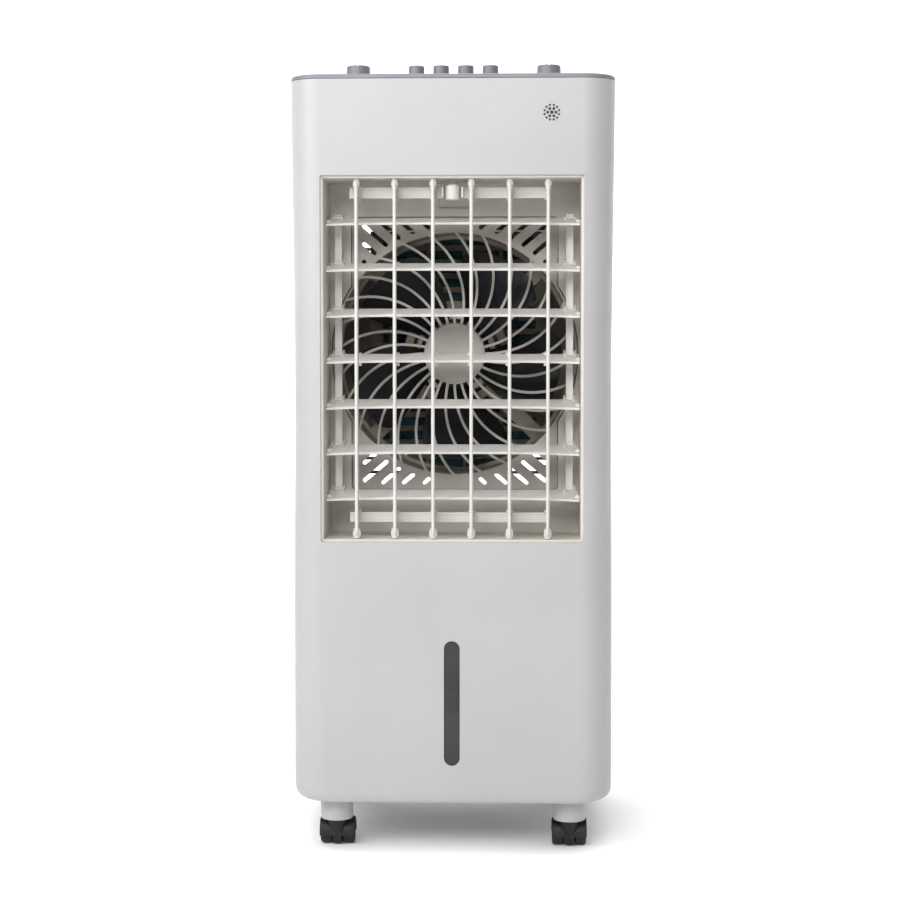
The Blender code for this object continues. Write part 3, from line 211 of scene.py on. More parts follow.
def copper():
    g = Graph("winding_copper")
    strands = g.wave(900, (1.0, 1.0, 1.0), 0.6)
    g.color(g.mix(strands, (0.32, 0.1, 0.035), (0.5, 0.2, 0.08)))
    g.roughness(g.ramp(strands, 0.0, 1.0, 0.3, 0.45))
    g.set(Metallic=0.85)
    g.bump(strands, 0.5, 0.3 * MM)
    return g.material


SHELL = moulded("shell_plastic", (0.372, 0.368, 0.374), (0.35, 0.347, 0.356), 0.42,
                smudge=(0.32, 0.308, 0.298))
PANEL = moulded("panel_plastic", (0.175, 0.165, 0.195), (0.155, 0.147, 0.175), 0.45, grain=1000)
KNOB = moulded("knob_plastic", (0.172, 0.163, 0.191), (0.152, 0.144, 0.17), 0.42, grain=1300)
# The outlet's white plastic, painted much darker on the swirl guard: painted shade of the recess and of the
# vanes' shadows on it.
GUARD_PAINTED_SHADE = moulded("guard_plastic_painted_shade", (0.37, 0.357, 0.327), (0.335, 0.321, 0.29), 0.48)
# The same white plastic painted lighter on the slats: painted light on their lit tops.
SLAT_PAINTED_LIGHT = moulded("slat_plastic_painted_light", (0.72, 0.705, 0.68), (0.68, 0.665, 0.635), 0.44)
# The same white plastic painted darker on the vanes, their link bars and the swing cam: painted shade of the
# recess.
VANE_PAINTED_SHADE = moulded("vane_plastic_painted_shade", (0.53, 0.518, 0.495), (0.495, 0.482, 0.455), 0.46)
# The same white plastic painted darker on the outlet liner: painted shade on the recess walls.
LINER_PAINTED_SHADE = moulded("liner_plastic_painted_shade", (0.60, 0.578, 0.522), (0.54, 0.518, 0.463), 0.5)
HOLDER = moulded("holder_plastic", (0.42, 0.372, 0.30), (0.34, 0.30, 0.24), 0.5, grain=900)
INNER = moulded("inner_plastic", (0.13, 0.13, 0.138), (0.1, 0.1, 0.106), 0.5, grain=900)
# Near-black painted shadow: the plugs in the dot pockets on the front and the ring in the gap round the fan
# guard.
PAINTED_SHADOW_BLACK = moulded("painted_shadow_black", (0.035, 0.035, 0.038), (0.028, 0.028, 0.03), 0.6)
WINDOW = dark_plastic("smoked_window", 0.28, (30, 3, 0.3, 0.7),
                      ((0.022, 0.023, 0.024), (0.034, 0.035, 0.036)),
                      (300, 4, 0.4, 0.8), (0.16, 0.3), (700, 0.03))
FAN = dark_plastic("fan_plastic", 0.3, (22, 4, 0.3, 0.7), ((0.005, 0.0045, 0.007), (0.009, 0.008, 0.012)),
                   (120, 5, 0.35, 0.7), (0.42, 0.58), (1200, 0.06))
NYLON = dark_plastic("caster_nylon", 0.32, (160, 5, 0.45, 0.7), ((0.009, 0.009, 0.012), (0.016, 0.016, 0.02)),
                     (220, 5, 0.3, 0.7), (0.44, 0.62), (1500, 0.1), brushed=True)
PAD = cellulose()
STEEL = pressed_steel("plated_steel", (0.5, 0.5, 0.51), 0.36)
SCREW = pressed_steel("screw_steel", (0.42, 0.42, 0.43), 0.3)
TANK = cloudy_plastic("tank_plastic", (0.66, 0.68, 0.69), (0.6, 0.625, 0.64), 0.25)
HOSE = cloudy_plastic("hose_plastic", (0.72, 0.74, 0.74), (0.66, 0.69, 0.7), 0.55)
COPPER = copper()


# ---------------------------------------------------------------- shape tools

def from_bmesh(bm, recalculate=True):
    mesh = bpy.data.meshes.new("piece")
    if recalculate:
        bmesh.ops.recalc_face_normals(bm, faces=bm.faces)
    bm.to_mesh(mesh)
    bm.free()
    obj = bpy.data.objects.new("piece", mesh)
    bpy.context.scene.collection.objects.link(obj)
    return obj


def skin(bm, rows, closed):
    """Quads between neighbouring rows of vertices."""
    for low, high in zip(rows, rows[1:]):
        for i in range(len(low) if closed else len(low) - 1):
            j = (i + 1) % len(low)
            bm.faces.new((low[i], low[j], high[j], high[i]))


def evaluated_mesh(obj):
    depsgraph = bpy.context.evaluated_depsgraph_get()
    return bpy.data.meshes.new_from_object(obj.evaluated_get(depsgraph))


def bake(obj):
    mesh = evaluated_mesh(obj)
    obj.modifiers.clear()
    obj.data = mesh
    return obj


def combine(target, tool, operation):
    modifier = target.modifiers.new("combine", "BOOLEAN")
    modifier.operation = operation
    modifier.solver = "EXACT"
    modifier.object = tool
    bake(target)
    bpy.data.objects.remove(tool)


def cut(target, *tools):
    for tool in tools:
        combine(target, tool, "DIFFERENCE")
    return target


def together(*parts):
    """Several loose meshes as one object, without merging them."""
    bm = bmesh.new()
    for part in parts:
        bm.from_mesh(part.data)
        bpy.data.objects.remove(part)
    return from_bmesh(bm, recalculate=False)


def moved(obj, matrix):
    obj.data.transform(matrix)
    return obj


def shifted(obj, x, y, z=0.0):
    return moved(obj, move(x, y, z))


def block(low, high, edge=0.0, segments=2):
    low = Vector(low)
    high = Vector(high)
    bm = bmesh.new()
    place = move(*((low + high) / 2)) @ Matrix.Diagonal((*(high - low), 1))
    bmesh.ops.create_cube(bm, size=1, matrix=place)
    if edge > 0:
        bmesh.ops.bevel(bm, geom=list(bm.edges), offset=edge, segments=segments, profile=0.5,
                        affect="EDGES", clamp_overlap=True)
    return from_bmesh(bm)


def turned(profile, segments=48, place=Matrix.Identity(4)):
    """A solid of revolution about Z from (radius, height) points; both ends lie on the axis."""
    bm = bmesh.new()
    rows = []
    for radius, height in profile:
        if radius < 1e-7:
            rows.append([bm.verts.new((0, 0, height))])
            continue
        steps = [2 * math.pi * i / segments for i in range(segments)]
        rows.append([bm.verts.new((radius * math.cos(a), radius * math.sin(a), height)) for a in steps])
    for upper, lower in zip(rows, rows[1:]):
        for i in range(segments):
            j = (i + 1) % segments
            corners = [row[k % len(row)] for row, k in ((upper, i), (upper, j), (lower, j), (lower, i))]
            unique = [v for k, v in enumerate(corners) if v not in corners[:k]]
            if len(unique) > 2:
                bm.faces.new(unique)
    bmesh.ops.transform(bm, matrix=place, verts=bm.verts)
    return from_bmesh(bm)


def rod(radius, start, end, axis="Z", segments=32, edge=0.0):
    """A cylinder with rounded rims between two points on a main axis."""
    start = Vector(start)
    end = Vector(end)
    half = (end - start).length / 2
    edge = min(edge, radius * 0.9, half * 0.9)
    profile = [(0, half)]
    for i in range(4 if edge > 0 else 1):
        a = math.radians(30 * i)
        profile.append((radius - edge * (1 - math.sin(a)), half - edge * (1 - math.cos(a))))
    profile += [(r, -h) for r, h in reversed(profile)]
    return turned(profile, segments, move(*((start + end) / 2)) @ TURN[axis])


def flat(outlines, thickness, place, edge=0.0, edge_steps=1):
    """Filled outlines, the inner ones as holes, made thick, with rounded edges."""
    curve = bpy.data.curves.new("outline", "CURVE")
    curve.dimensions = "2D"
    curve.fill_mode = "BOTH"
    curve.extrude = thickness / 2 - edge
    curve.bevel_depth = edge
    curve.bevel_resolution = edge_steps
    curve.offset = -edge
    for points in outlines:
        spline = curve.splines.new("POLY")
        spline.points.add(len(points) - 1)
        for point, (x, y) in zip(spline.points, points):
            point.co = (x, y, 0, 1)
        spline.use_cyclic_u = True
    drawing = bpy.data.objects.new("outline", curve)
    bpy.context.scene.collection.objects.link(drawing)
    mesh = evaluated_mesh(drawing)
    bpy.data.objects.remove(drawing)
    bm = bmesh.new()
    bm.from_mesh(mesh)
    bmesh.ops.remove_doubles(bm, verts=bm.verts, dist=0.001 * MM)
    bmesh.ops.transform(bm, matrix=place, verts=bm.verts)
    return from_bmesh(bm)


def front_flat(outlines, front, back, edge=0.0, edge_steps=1):
    place = move(0, (front + back) / 2, 0) @ FACING_Y
    return flat(outlines, back - front, place, edge, edge_steps)


def level_flat(outlines, bottom, top, edge=0.0):
    return flat(outlines, top - bottom, move(0, 0, (bottom + top) / 2), edge)


def side_flat(outlines, left, right, edge=0.0):
    return flat(outlines, right - left, move((left + right) / 2, 0, 0) @ FACING_X, edge)


def loft(rings):
    bm = bmesh.new()
    rows = [[bm.verts.new(point) for point in ring] for ring in rings]
    skin(bm, rows, closed=True)
    bm.faces.new(list(reversed(rows[0])))
    bm.faces.new(rows[-1])
    return from_bmesh(bm)


def angles(step, first, stop):
    return [math.radians(step * i) for i in range(first, stop)]


def span(side, near, far):
    """The lower and upper end of a stretch that may be mirrored."""
    return sorted((side * near, side * far))


def arc(centre, radius, start, end, steps):
    headings = [math.radians(start + (end - start) * i / steps) for i in range(steps + 1)]
    return [(centre[0] + radius * math.cos(a), centre[1] + radius * math.sin(a)) for a in headings]


def rounded_rectangle(low, high, radius, steps=6):
    corners = ((high[0] - radius, low[1] + radius, -90), (high[0] - radius, high[1] - radius, 0),
               (low[0] + radius, high[1] - radius, 90), (low[0] + radius, low[1] + radius, 180))
    points = []
    for x, y, angle in corners:
        points += arc((x, y), radius, angle, angle + 90, steps)
    return points


def rectangle(low, high):
    return [(low[0], low[1]), (high[0], low[1]), (high[0], high[1]), (low[0], high[1])]


def slot_outline(start, end, width, steps=8):
    heading = math.degrees(math.atan2(end[1] - start[1], end[0] - start[0]))
    return (arc(start, width / 2, heading + 90, heading + 270, steps)
            + arc(end, width / 2, heading - 90, heading + 90, steps))


def soften(obj, width, segments=2, angle=32):
    """Round off the sharp edges, and keep the flats flat."""
    bevel = obj.modifiers.new("edges", "BEVEL")
    bevel.width = width
    bevel.segments = segments
    bevel.limit_method = "ANGLE"
    bevel.angle_limit = math.radians(angle)
    bevel.use_clamp_overlap = True
    bevel.harden_normals = False
    return bake(obj)


def place_piece(obj, name, body, material, slot, *nodes, smooth=40):
    """Name a piece, give it its material, let it ride on a body and stand for its CAD nodes."""
    obj.name = name
    obj.data.name = name
    obj.data.materials.clear()
    obj.data.materials.append(material)
    obj.data.shade_smooth()
    obj.data.set_sharp_from_angle(angle=math.radians(smooth))
    weighted = obj.modifiers.new("normals", "WEIGHTED_NORMAL")
    weighted.keep_sharp = True
    bake(obj)
    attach(obj, body)
    if nodes:
        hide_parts(*nodes)


def from_node(node):
    """A copy of a CAD node's mesh, with its coplanar triangles made into whole faces."""
    bm = bmesh.new()
    bm.from_mesh(frame["nodes"][node].data)
    bmesh.ops.remove_doubles(bm, verts=bm.verts, dist=0.002 * MM)
    bmesh.ops.dissolve_limit(bm, angle_limit=math.radians(0.6), verts=bm.verts, edges=bm.edges)
    return from_bmesh(bm)


def moulding_of(node, name, body, material, slot, width, segments=2):
    """The CAD solid with its edges rounded as a mould leaves them."""
    place_piece(soften(from_node(node), width, segments), name, body, material, slot, node)


def screw_head(radius, place):
    """A cross-recess pan head, pointing up its own +Z."""
    crown = 0.55 * radius
    foot = -0.2 * radius
    dome = [(0, crown)] + [(radius * math.sin(a), crown * math.cos(a)) for a in angles(15, 1, 7)]
    head = turned(dome + [(radius, foot), (0, foot)], 28)
    bar = 0.16 * radius
    arm = 0.62 * radius
    for x, y in ((bar, arm), (arm, bar)):
        cut(head, block((-x, -y, 0.2 * radius), (x, y, radius)))
    return moved(head, place)


# ---------------------------------------------------------------- shells and top panel

SHELL_LOW, SHELL_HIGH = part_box("rear_shell")
FRONT_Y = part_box("front_shell")[0].y
BACK_Y = SHELL_HIGH.y
BODY_BOTTOM = SHELL_LOW.z
BODY_TOP = SHELL_HIGH.z
SEAM_Y = (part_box("front_shell")[1].y + SHELL_LOW.y) / 2
WALL = 2.5 * MM
FRONT_CORNER = 28 * MM
REAR_CORNER = 18 * MM
SIDE_BOW = 3 * MM
# height, half width, how far front and back are drawn in
OUTLINE = mm(
    (45.5, 132.7, 3.0), (46.2, 134.9, 2.2), (47.4, 137.0, 1.4), (49.2, 139.0, 0.8), (51.6, 140.5, 0.35),
    (54.5, 141.3, 0.1), (58.0, 141.6, 0.0), (70.0, 141.7, 0.0), (150, 141.65, 0.0), (230, 141.4, 0.0),
    (280, 141.0, 0.0), (330, 140.7, 0.0), (380, 140.6, 0.0), (430, 140.65, 0.0), (495, 141.15, 0.0),
    (560, 141.9, 0.0), (620, 142.6, 0.0), (682.5, 143.3, 0.0),
)


def outline_at(height):
    for low, high in zip(OUTLINE, OUTLINE[1:]):
        if height <= high[0]:
            share = max(0.0, (height - low[0]) / (high[0] - low[0]))
            return tuple(a + (b - a) * share for a, b in zip(low[1:], high[1:]))
    return OUTLINE[-1][1:]


def plan_ring(height, inset, at=None):
    """The housing's plan at a height, drawn in by an inset."""
    half_width, end_inset = outline_at(height if at is None else at)
    side = half_width - inset
    front = FRONT_Y + end_inset + inset
    back = BACK_Y - end_inset - inset
    front_radius = max(FRONT_CORNER - inset, 1 * MM)
    rear_radius = max(REAR_CORNER - inset, 1 * MM)
    half = arc((side - front_radius, front + front_radius), front_radius, -90, 0, 14)
    steps = 14
    for i in range(1, steps):
        share = i / steps
        y = (front + front_radius) * (1 - share) + (back - rear_radius) * share
        half.append((side + SIDE_BOW * 4 * share * (1 - share), y))
    half += arc((side - rear_radius, back - rear_radius), rear_radius, 0, 90, 10)
    plan = half + [(-x, y) for x, y in reversed(half)]
    return [(x, y, height) for x, y in plan]


def housing_solid():
    return loft([plan_ring(row[0], 0) for row in OUTLINE])


def housing_cavity():
    over = 6 * MM
    rings = [plan_ring(BODY_BOTTOM - over, WALL, at=BODY_BOTTOM)]
    rings += [plan_ring(row[0], WALL) for row in OUTLINE]
    rings.append(plan_ring(BODY_TOP + over, WALL, at=BODY_TOP))
    return loft(rings)


def beyond_seam(front_side):
    reach = 0.4
    gap = 0.15 * MM
    if front_side:
        return block((-reach, -reach, -reach), (reach, SEAM_Y + gap, 2 * reach))
    return block((-reach, SEAM_Y - gap, -reach), (reach, reach, 2 * reach))


# how many dots, the radius of their ring, the radius of a dot, by what part of a step the ring is turned
DOT_RINGS = ((1, 0.0, 1.65 * MM, 0), (6, 3.6 * MM, 1.35 * MM, 0), (12, 6.5 * MM, 1.05 * MM, 0.5))
DOT_DEPTH = 0.9 * MM
DOT_CENTRE = mm(87, 652.7)
OPENING = mm((-115.5, 277.1), (115.5, 598.8))
WINDOW_LIP = 3.5 * MM


def dot_places():
    for count, ring, radius, start in DOT_RINGS:
        for i in range(count):
            a = 2 * math.pi * (i + start) / count
            yield DOT_CENTRE[0] + ring * math.cos(a), DOT_CENTRE[1] + ring * math.sin(a), radius


def dot_rods(share, start):
    """A rod at each dot of the round pattern, from a depth to the dots' full depth."""
    return together(*[rod(radius * share, (x, FRONT_Y + start, z), (x, FRONT_Y + DOT_DEPTH, z), "Y", 20)
                      for x, z, radius in dot_places()])


def make_front_shell():
    shell = cut(housing_solid(), beyond_seam(False), housing_cavity())
    through = (FRONT_Y - 5 * MM, FRONT_Y + 10 * MM)
    low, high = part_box("level_window")
    half = 6.95 * MM
    play = 0.3 * MM
    x = (low.x + high.x) / 2
    ends = ((x, low.z + WINDOW_LIP - play + half), (x, high.z - WINDOW_LIP + play - half))
    cut(shell,
        front_flat([rounded_rectangle(*OPENING, 2 * MM, 4)], *through),
        front_flat([slot_outline(*ends, 2 * half, 12)], *through))
    soften(shell, 0.5 * MM, 2, 38)
    cut(shell, dot_rods(1, -3 * MM))
    place_piece(shell, "front_shell_moulding", "housing", SHELL, "shell_white", "front_shell", smooth=34)
    # Near-black plugs at the bottom of the dot pockets: painted shadow inside the dots.
    place_piece(dot_rods(0.97, 0.62 * MM), "signal_dot_shadows", "housing", PAINTED_SHADOW_BLACK, "inner_grey")


GRIP_TOP = 577 * MM
GRIP_HEIGHT = 42 * MM
GRIP_DEPTH = 17 * MM
GRIP_FRONT = -66 * MM
GRIP_BACK = 10 * MM
GRIP_WALL = 2.2 * MM


def grip_solid(side, grow):
    """The hollow of a side grip: a flat roof and a back that runs out to the wall below."""
    wall_x = outline_at(GRIP_TOP)[0]
    outside = wall_x + 12 * MM
    roof = GRIP_TOP + grow
    deep = wall_x - GRIP_DEPTH - grow
    drop = GRIP_HEIGHT + 2 * grow
    steps = 12
    outline = [(outside, roof), (deep, roof)]
    for i in range(steps + 1):
        share = i / steps
        outline.append((deep + (outside - deep) * share ** 2,
                        roof - 6 * MM - drop * math.sin(share * math.pi / 2)))
    outline = [(side * x, z) for x, z in outline]
    return front_flat([outline], GRIP_FRONT - grow, GRIP_BACK + grow)


def make_rear_shell():
    cavity = housing_cavity()
    for side in (1, -1):
        cut(cavity, grip_solid(side, GRIP_WALL))
    shell = cut(housing_solid(), beyond_seam(True), cavity)
    for side in (1, -1):
        cut(shell, grip_solid(side, 0))
    inside = BACK_Y - 15 * MM
    outside = BACK_Y + 10 * MM
    tank_low, tank_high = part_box("water_tank")
    grille_low, grille_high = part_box("rear_grille")
    lip = 3 * MM
    latch = axis_of("latch_turn")
    gland_low, gland_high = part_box("cord_gland")
    gland_x = (gland_low.x + gland_high.x) / 2
    gland_z = (gland_low.z + gland_high.z) / 2
    cut(shell,
        block((grille_low.x + lip, inside, grille_low.z + lip),
              (grille_high.x - lip, outside, grille_high.z - lip)),
        block((tank_low.x - 0.8 * MM, inside, tank_low.z - 0.7 * MM),
              (tank_high.x + 0.8 * MM, outside, tank_high.z + 0.8 * MM)),
        rod(2.8 * MM, (latch.x, inside, latch.z), (latch.x, outside, latch.z), "Y"),
        rod(5 * MM, (gland_x, inside, gland_z), (gland_x, outside, gland_z), "Y"))
    soften(shell, 0.5 * MM, 2, 38)
    place_piece(shell, "rear_shell_moulding", "housing", SHELL, "shell_white", "rear_shell", smooth=34)


PANEL_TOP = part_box("top_panel")[1].z
CONTROL_Y = axis_of("timer_turn").y
TRAY_LOW = mm(-108, -48)
TRAY_HIGH = mm(108, 96)
BUTTON_X = [sum(c.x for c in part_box(f"button_{i}")) / 2 for i in range(1, 5)]


def make_top_panel():
    base = BODY_TOP + 0.3 * MM
    rim = [(base, 0.35 * MM), (base + 0.35 * MM, 0.0)]
    rim += mm((684.9, 0.0), (685.6, 0.25), (686.3, 0.9), (686.75, 1.7))
    rim.append((PANEL_TOP, 2.8 * MM))
    panel = loft([plan_ring(height, inset, at=BODY_TOP) for height, inset in rim])
    inset = WALL + 0.4 * MM
    bottom = BODY_TOP - 7 * MM
    skirt = loft([plan_ring(height, inset, at=BODY_TOP) for height in (bottom, 684 * MM)])
    hollow = loft([plan_ring(height, inset + 2 * MM, at=BODY_TOP) for height in (bottom - 5 * MM, base)])
    combine(panel, skirt, "UNION")
    tray = rounded_rectangle(TRAY_LOW, TRAY_HIGH, 12 * MM, 8)
    cut(panel, hollow, level_flat([tray], PANEL_TOP - 1 * MM, PANEL_TOP + 5 * MM))
    below, above = mm(670, 700)
    holes = [(axis_of(joint).x, 3.6 * MM) for joint in ("timer_turn", "function_turn")]
    for x, radius in holes + [(x, 7.5 * MM) for x in BUTTON_X]:
        cut(panel, rod(radius, (x, CONTROL_Y, below), (x, CONTROL_Y, above)))
    soften(panel, 0.35 * MM, 2, 36)
    place_piece(panel, "top_panel_moulding", "housing", PANEL, "panel_grey", "top_panel", smooth=34)


def make_base_pan():
    moulding_of("base_pan", "base_pan_moulding", "housing", SHELL, "shell_white", 0.5 * MM)
    socket = mm((9, 25.3), (13.9, 25.3), (14.45, 25.9), (14.7, 45.8), (9, 45.8))
    for name, joint in (("base_foot_socket_front", "caster_swivel_1"),
                        ("base_foot_socket_rear", "caster_swivel_3")):
        stem = axis_of(joint)
        places = [move(side * abs(stem.x), stem.y, 0) for side in (1, -1)]
        place_piece(together(*[ring_of(socket, 48, place) for place in places]), name, "housing", SHELL,
                    "shell_white")


def ring_of(profile, segments, place):
    """A closed ring about Z from a loop of (radius, height) points."""
    bm = bmesh.new()
    rows = []
    for i in range(segments):
        a = 2 * math.pi * i / segments
        rows.append([bm.verts.new((r * math.cos(a), r * math.sin(a), z)) for r, z in profile])
    skin(bm, rows + rows[:1], closed=True)
    bmesh.ops.transform(bm, matrix=place, verts=bm.verts)
    return from_bmesh(bm)


# ---------------------------------------------------------------- controls

def make_knob(name, joint, node):
    """A plain dial with a rounded rim and an index groove across its top."""
    centre = axis_of(joint)
    low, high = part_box(node)
    top = high.z
    base = PANEL_TOP + 0.5 * MM
    radius = (high.x - low.x) / 2
    flat_radius = radius - 2.4 * MM
    profile = [(0, top), (flat_radius, top)]
    profile += [(flat_radius + 1.9 * MM * math.sin(a), top - 1.5 * MM * (1 - math.cos(a)))
                for a in angles(22.5, 1, 5)]
    profile += [(radius - 0.05 * MM, base + 1.6 * MM), (radius, base + 1.2 * MM),
                (radius, base + 0.2 * MM), (radius - 0.3 * MM, base), (0, base)]
    knob = turned(profile, 72, move(centre.x, centre.y, 0))
    cut(knob, block((centre.x - 0.7 * MM, centre.y - radius - 1 * MM, top - 0.8 * MM),
                    (centre.x + 0.7 * MM, centre.y - 3 * MM, top + 1 * MM), 0.3 * MM))
    shaft = rod(3 * MM, (centre.x, centre.y, 664 * MM), (centre.x, centre.y, base + 1 * MM), edge=0.4 * MM)
    place_piece(together(knob, shaft), name, node, KNOB, "panel_grey", node, smooth=36)


def make_button(index):
    node = f"button_{index}"
    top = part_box(node)[1].z
    radius = 7.1 * MM
    crown = 1.5 * MM if index == 1 else 0.9 * MM
    profile = [(0, top), (radius - crown - 1.2 * MM, top - 0.05 * MM)]
    profile += [(radius - crown + crown * math.sin(a), top - 0.1 * MM - crown * (1 - math.cos(a)))
                for a in angles(18, 0, 6)]
    profile.append((radius, 682.2 * MM))
    profile += mm((8.5, 682), (8.5, 679.5), (2.5, 679.4), (2.5, 668), (0, 668))
    button = turned(profile, 48, move(BUTTON_X[index - 1], CONTROL_Y, 0))
    place_piece(button, f"push_button_{index}", node, KNOB, "panel_grey", node, smooth=36)


def make_controls():
    make_knob("timer_dial", "timer_turn", "timer_knob")
    make_knob("function_dial", "function_turn", "function_knob")
    for index in range(1, 5):
        make_button(index)
    moulding_of("button_switch", "push_switch_body", "housing", INNER, "inner_grey", 0.6 * MM)
    moulding_of("timer_switch", "clockwork_timer", "housing", STEEL, "motor_steel", 0.6 * MM)
    moulding_of("function_switch", "selector_body", "housing", INNER, "inner_grey", 0.6 * MM)


def make_level_window():
    low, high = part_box("level_window")
    x = (low.x + high.x) / 2
    half = (high.x - low.x) / 2 - WINDOW_LIP
    ends = ((x, low.z + WINDOW_LIP + half), (x, high.z - WINDOW_LIP - half))
    pane = front_flat([slot_outline(*ends, 2 * half, 14)], low.y, high.y - 1.9 * MM, 0.5 * MM, 2)
    flange = front_flat([slot_outline(*ends, 2 * (half + WINDOW_LIP), 14)], high.y - 1.75 * MM, high.y,
                        0.3 * MM)
    place_piece(together(pane, flange), "water_level_window", "housing", WINDOW, "window_smoke",
                "level_window")


# ---------------------------------------------------------------- louvres

VANE_COUNT = 6
SLAT_COUNT = 7
VANE_THICK = 3.1 * MM
VANE_AHEAD = 4 * MM
VANE_REAR = 14 * MM
VANE_LINK_ARM = axis_of("vane_links_turn").y - axis_of("vane_swing").y
SLAT_TILT = math.radians(14)
SLAT_LINK_ARM = (axis_of("slat_links_turn") - axis_of("slat_tilt")).length
SLAT_THICK = 1.8 * MM
SLAT_REACH = 112.6 * MM
SLAT_LINK_X = 104.3 * MM
LINK_PIN = 1.2 * MM
LINK_FORK = LINK_PIN + 0.3 * MM
TOP_PIN_DROP = 2.6 * MM
BOTTOM_PIN_RISE = 2.5 * MM
YOKE_REAR = 13.2 * MM


def vane_mesh(nub_side):
    """A vane about its own axis: a tapered blade, end barrels, pins, link forks and locating nubs."""
    low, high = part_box("vane_1")
    end_gap = 2.1 * MM
    bottom = low.z + end_gap + 0.4 * MM
    top = high.z - end_gap - 0.4 * MM
    half = VANE_THICK / 2
    tail_half = 0.75 * MM
    section = (arc((0, -VANE_AHEAD + half), half, 180, 360, 8)
               + arc((0, VANE_REAR - tail_half), tail_half, 0, 180, 6))
    blade = loft([[(x, y, z) for x, y in section] for z in (bottom + 3.5 * MM, top - 3.5 * MM)])
    parts = [soften(blade, 0.3 * MM, 1, 60)]
    for z, radius in ((bottom, 3 * MM), (top - 9 * MM, 2.3 * MM)):
        wide = radius + 0.5 * MM
        parts += [rod(radius, (0, 0, z), (0, 0, z + 9 * MM), "Z", 32, 0.6 * MM),
                  block((-wide, -1.6 * MM, z + 2.5 * MM), (wide, 1.6 * MM, z + 6.5 * MM), 0.5 * MM)]
    for start, end in ((low.z, bottom + 1 * MM), (top - 1 * MM, high.z)):
        parts.append(rod(1.5 * MM, (0, 0, start), (0, 0, end), "Z", 20, 0.2 * MM))
    tip = VANE_LINK_ARM + 3 * MM
    root = 10 * MM
    wing = 2.8 * MM
    seat = VANE_LINK_ARM - LINK_FORK
    tab = [(-wing, root), (wing, root), (wing, tip), (LINK_FORK, tip), (LINK_FORK, seat),
           (-LINK_FORK, seat), (-LINK_FORK, tip), (-wing, tip)]
    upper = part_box("vane_link_top")[0].z + TOP_PIN_DROP
    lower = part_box("vane_link_bottom")[1].z - BOTTOM_PIN_RISE
    for z in (upper - 2.2 * MM, lower + 0.6 * MM):
        parts.append(level_flat([tab], z, z + 1.6 * MM, 0.25 * MM))
    middle = (low.z + high.z) / 2
    near, far = span(nub_side, 0.0, half + 2 * MM)
    for z in (middle + 4.7 * MM, middle - 4.7 * MM):
        parts.append(block((near, VANE_REAR - 3.6 * MM, z - 1.2 * MM),
                           (far, VANE_REAR - 1.2 * MM, z + 1.2 * MM), 0.35 * MM))
    return together(*parts)


def make_vanes():
    for index in range(1, VANE_COUNT + 1):
        pivot = axis_of("vane_swing", index)
        vane = shifted(vane_mesh(1 if index <= VANE_COUNT / 2 else -1), pivot.x, pivot.y)
        place_piece(vane, f"vane_{index}_blade", f"vane_{index}", VANE_PAINTED_SHADE, "grille_white", f"vane_{index}")


def yoke_parts(y, bottom, top):
    """The fork in the middle of the upper bar, which holds the cam between its prongs."""
    outer = 9.6 * MM
    parts = [block((-outer, y + YOKE_REAR, bottom), (outer, y + YOKE_REAR + 1.8 * MM, top), 0.4 * MM)]
    for side in (1, -1):
        near, far = span(side, 7.8 * MM, outer)
        parts.append(block((near, y - 8 * MM, bottom), (far, y + YOKE_REAR + 1 * MM, top), 0.4 * MM))
    return parts


def vane_bar(node):
    """A flat bar with a bead along both edges and a round boss and pin at each vane."""
    y = axis_of("vane_links_turn").y
    low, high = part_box(node)
    if node == "vane_link_top":
        bottom, top = low.z + TOP_PIN_DROP, high.z
        pin_low, pin_high = bottom - TOP_PIN_DROP, bottom + 1 * MM
        inner = 8.7 * MM
        spans = [(low.x, -inner), (inner, high.x)]
        parts = yoke_parts(y, bottom, top)
    else:
        bottom, top = low.z, high.z - BOTTOM_PIN_RISE
        pin_low, pin_high = top - 1 * MM, top + BOTTOM_PIN_RISE
        spans = [(low.x, high.x)]
        parts = []
    bead = 1.7 * MM
    for left, right in spans:
        parts.append(block((left, y - 1 * MM, bottom), (right, y + 1 * MM, top), 0.3 * MM))
        for bead_low, bead_high in ((bottom, bottom + bead), (top - bead, top)):
            parts.append(block((left + 0.2 * MM, y - 1.6 * MM, bead_low),
                               (right - 0.2 * MM, y + 0.5 * MM, bead_high), 0.35 * MM))
    for index in range(1, VANE_COUNT + 1):
        x = axis_of("vane_swing", index).x
        parts += [rod(2.5 * MM, (x, y, bottom - 0.1 * MM), (x, y, top + 0.1 * MM), "Z", 24, 0.3 * MM),
                  rod(LINK_PIN, (x, y, pin_low), (x, y, pin_high), "Z", 16, 0.2 * MM)]
    return together(*parts)


def make_vane_links():
    for node in ("vane_link_top", "vane_link_bottom"):
        place_piece(vane_bar(node), f"{node}_bar", "vane_links", VANE_PAINTED_SHADE, "grille_white", node)


def make_swing_drive():
    y = axis_of("crank_turn").y
    low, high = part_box("swing_crank")
    cam_y = y - 6.5 * MM
    cam_top = 590.8 * MM
    web_low, web_high = cam_top - 0.4 * MM, cam_top + 1.6 * MM
    parts = [rod(6.2 * MM, (0, cam_y, low.z), (0, cam_y, cam_top), "Z", 48, 0.5 * MM),
             block((-3.5 * MM, cam_y - 2 * MM, web_low), (3.5 * MM, y + 2 * MM, web_high), 0.4 * MM),
             rod(4 * MM, (0, y, cam_top - 0.3 * MM), (0, y, 600 * MM), "Z", 32, 0.2 * MM),
             rod(3 * MM, (0, y, 599 * MM), (0, y, high.z), "Z", 24, 0.3 * MM)]
    place_piece(together(*parts), "swing_cam", "swing_crank", VANE_PAINTED_SHADE, "shell_white", "swing_crank")
    moulding_of("swing_motor", "swing_motor_can", "housing", STEEL, "motor_steel", 0.8 * MM, 3)


def slat_front(x):
    """Front edge of a slat, which sweeps forward towards its ends."""
    return -(4 + 5.6 * abs(x / SLAT_REACH) ** 3.5) * MM


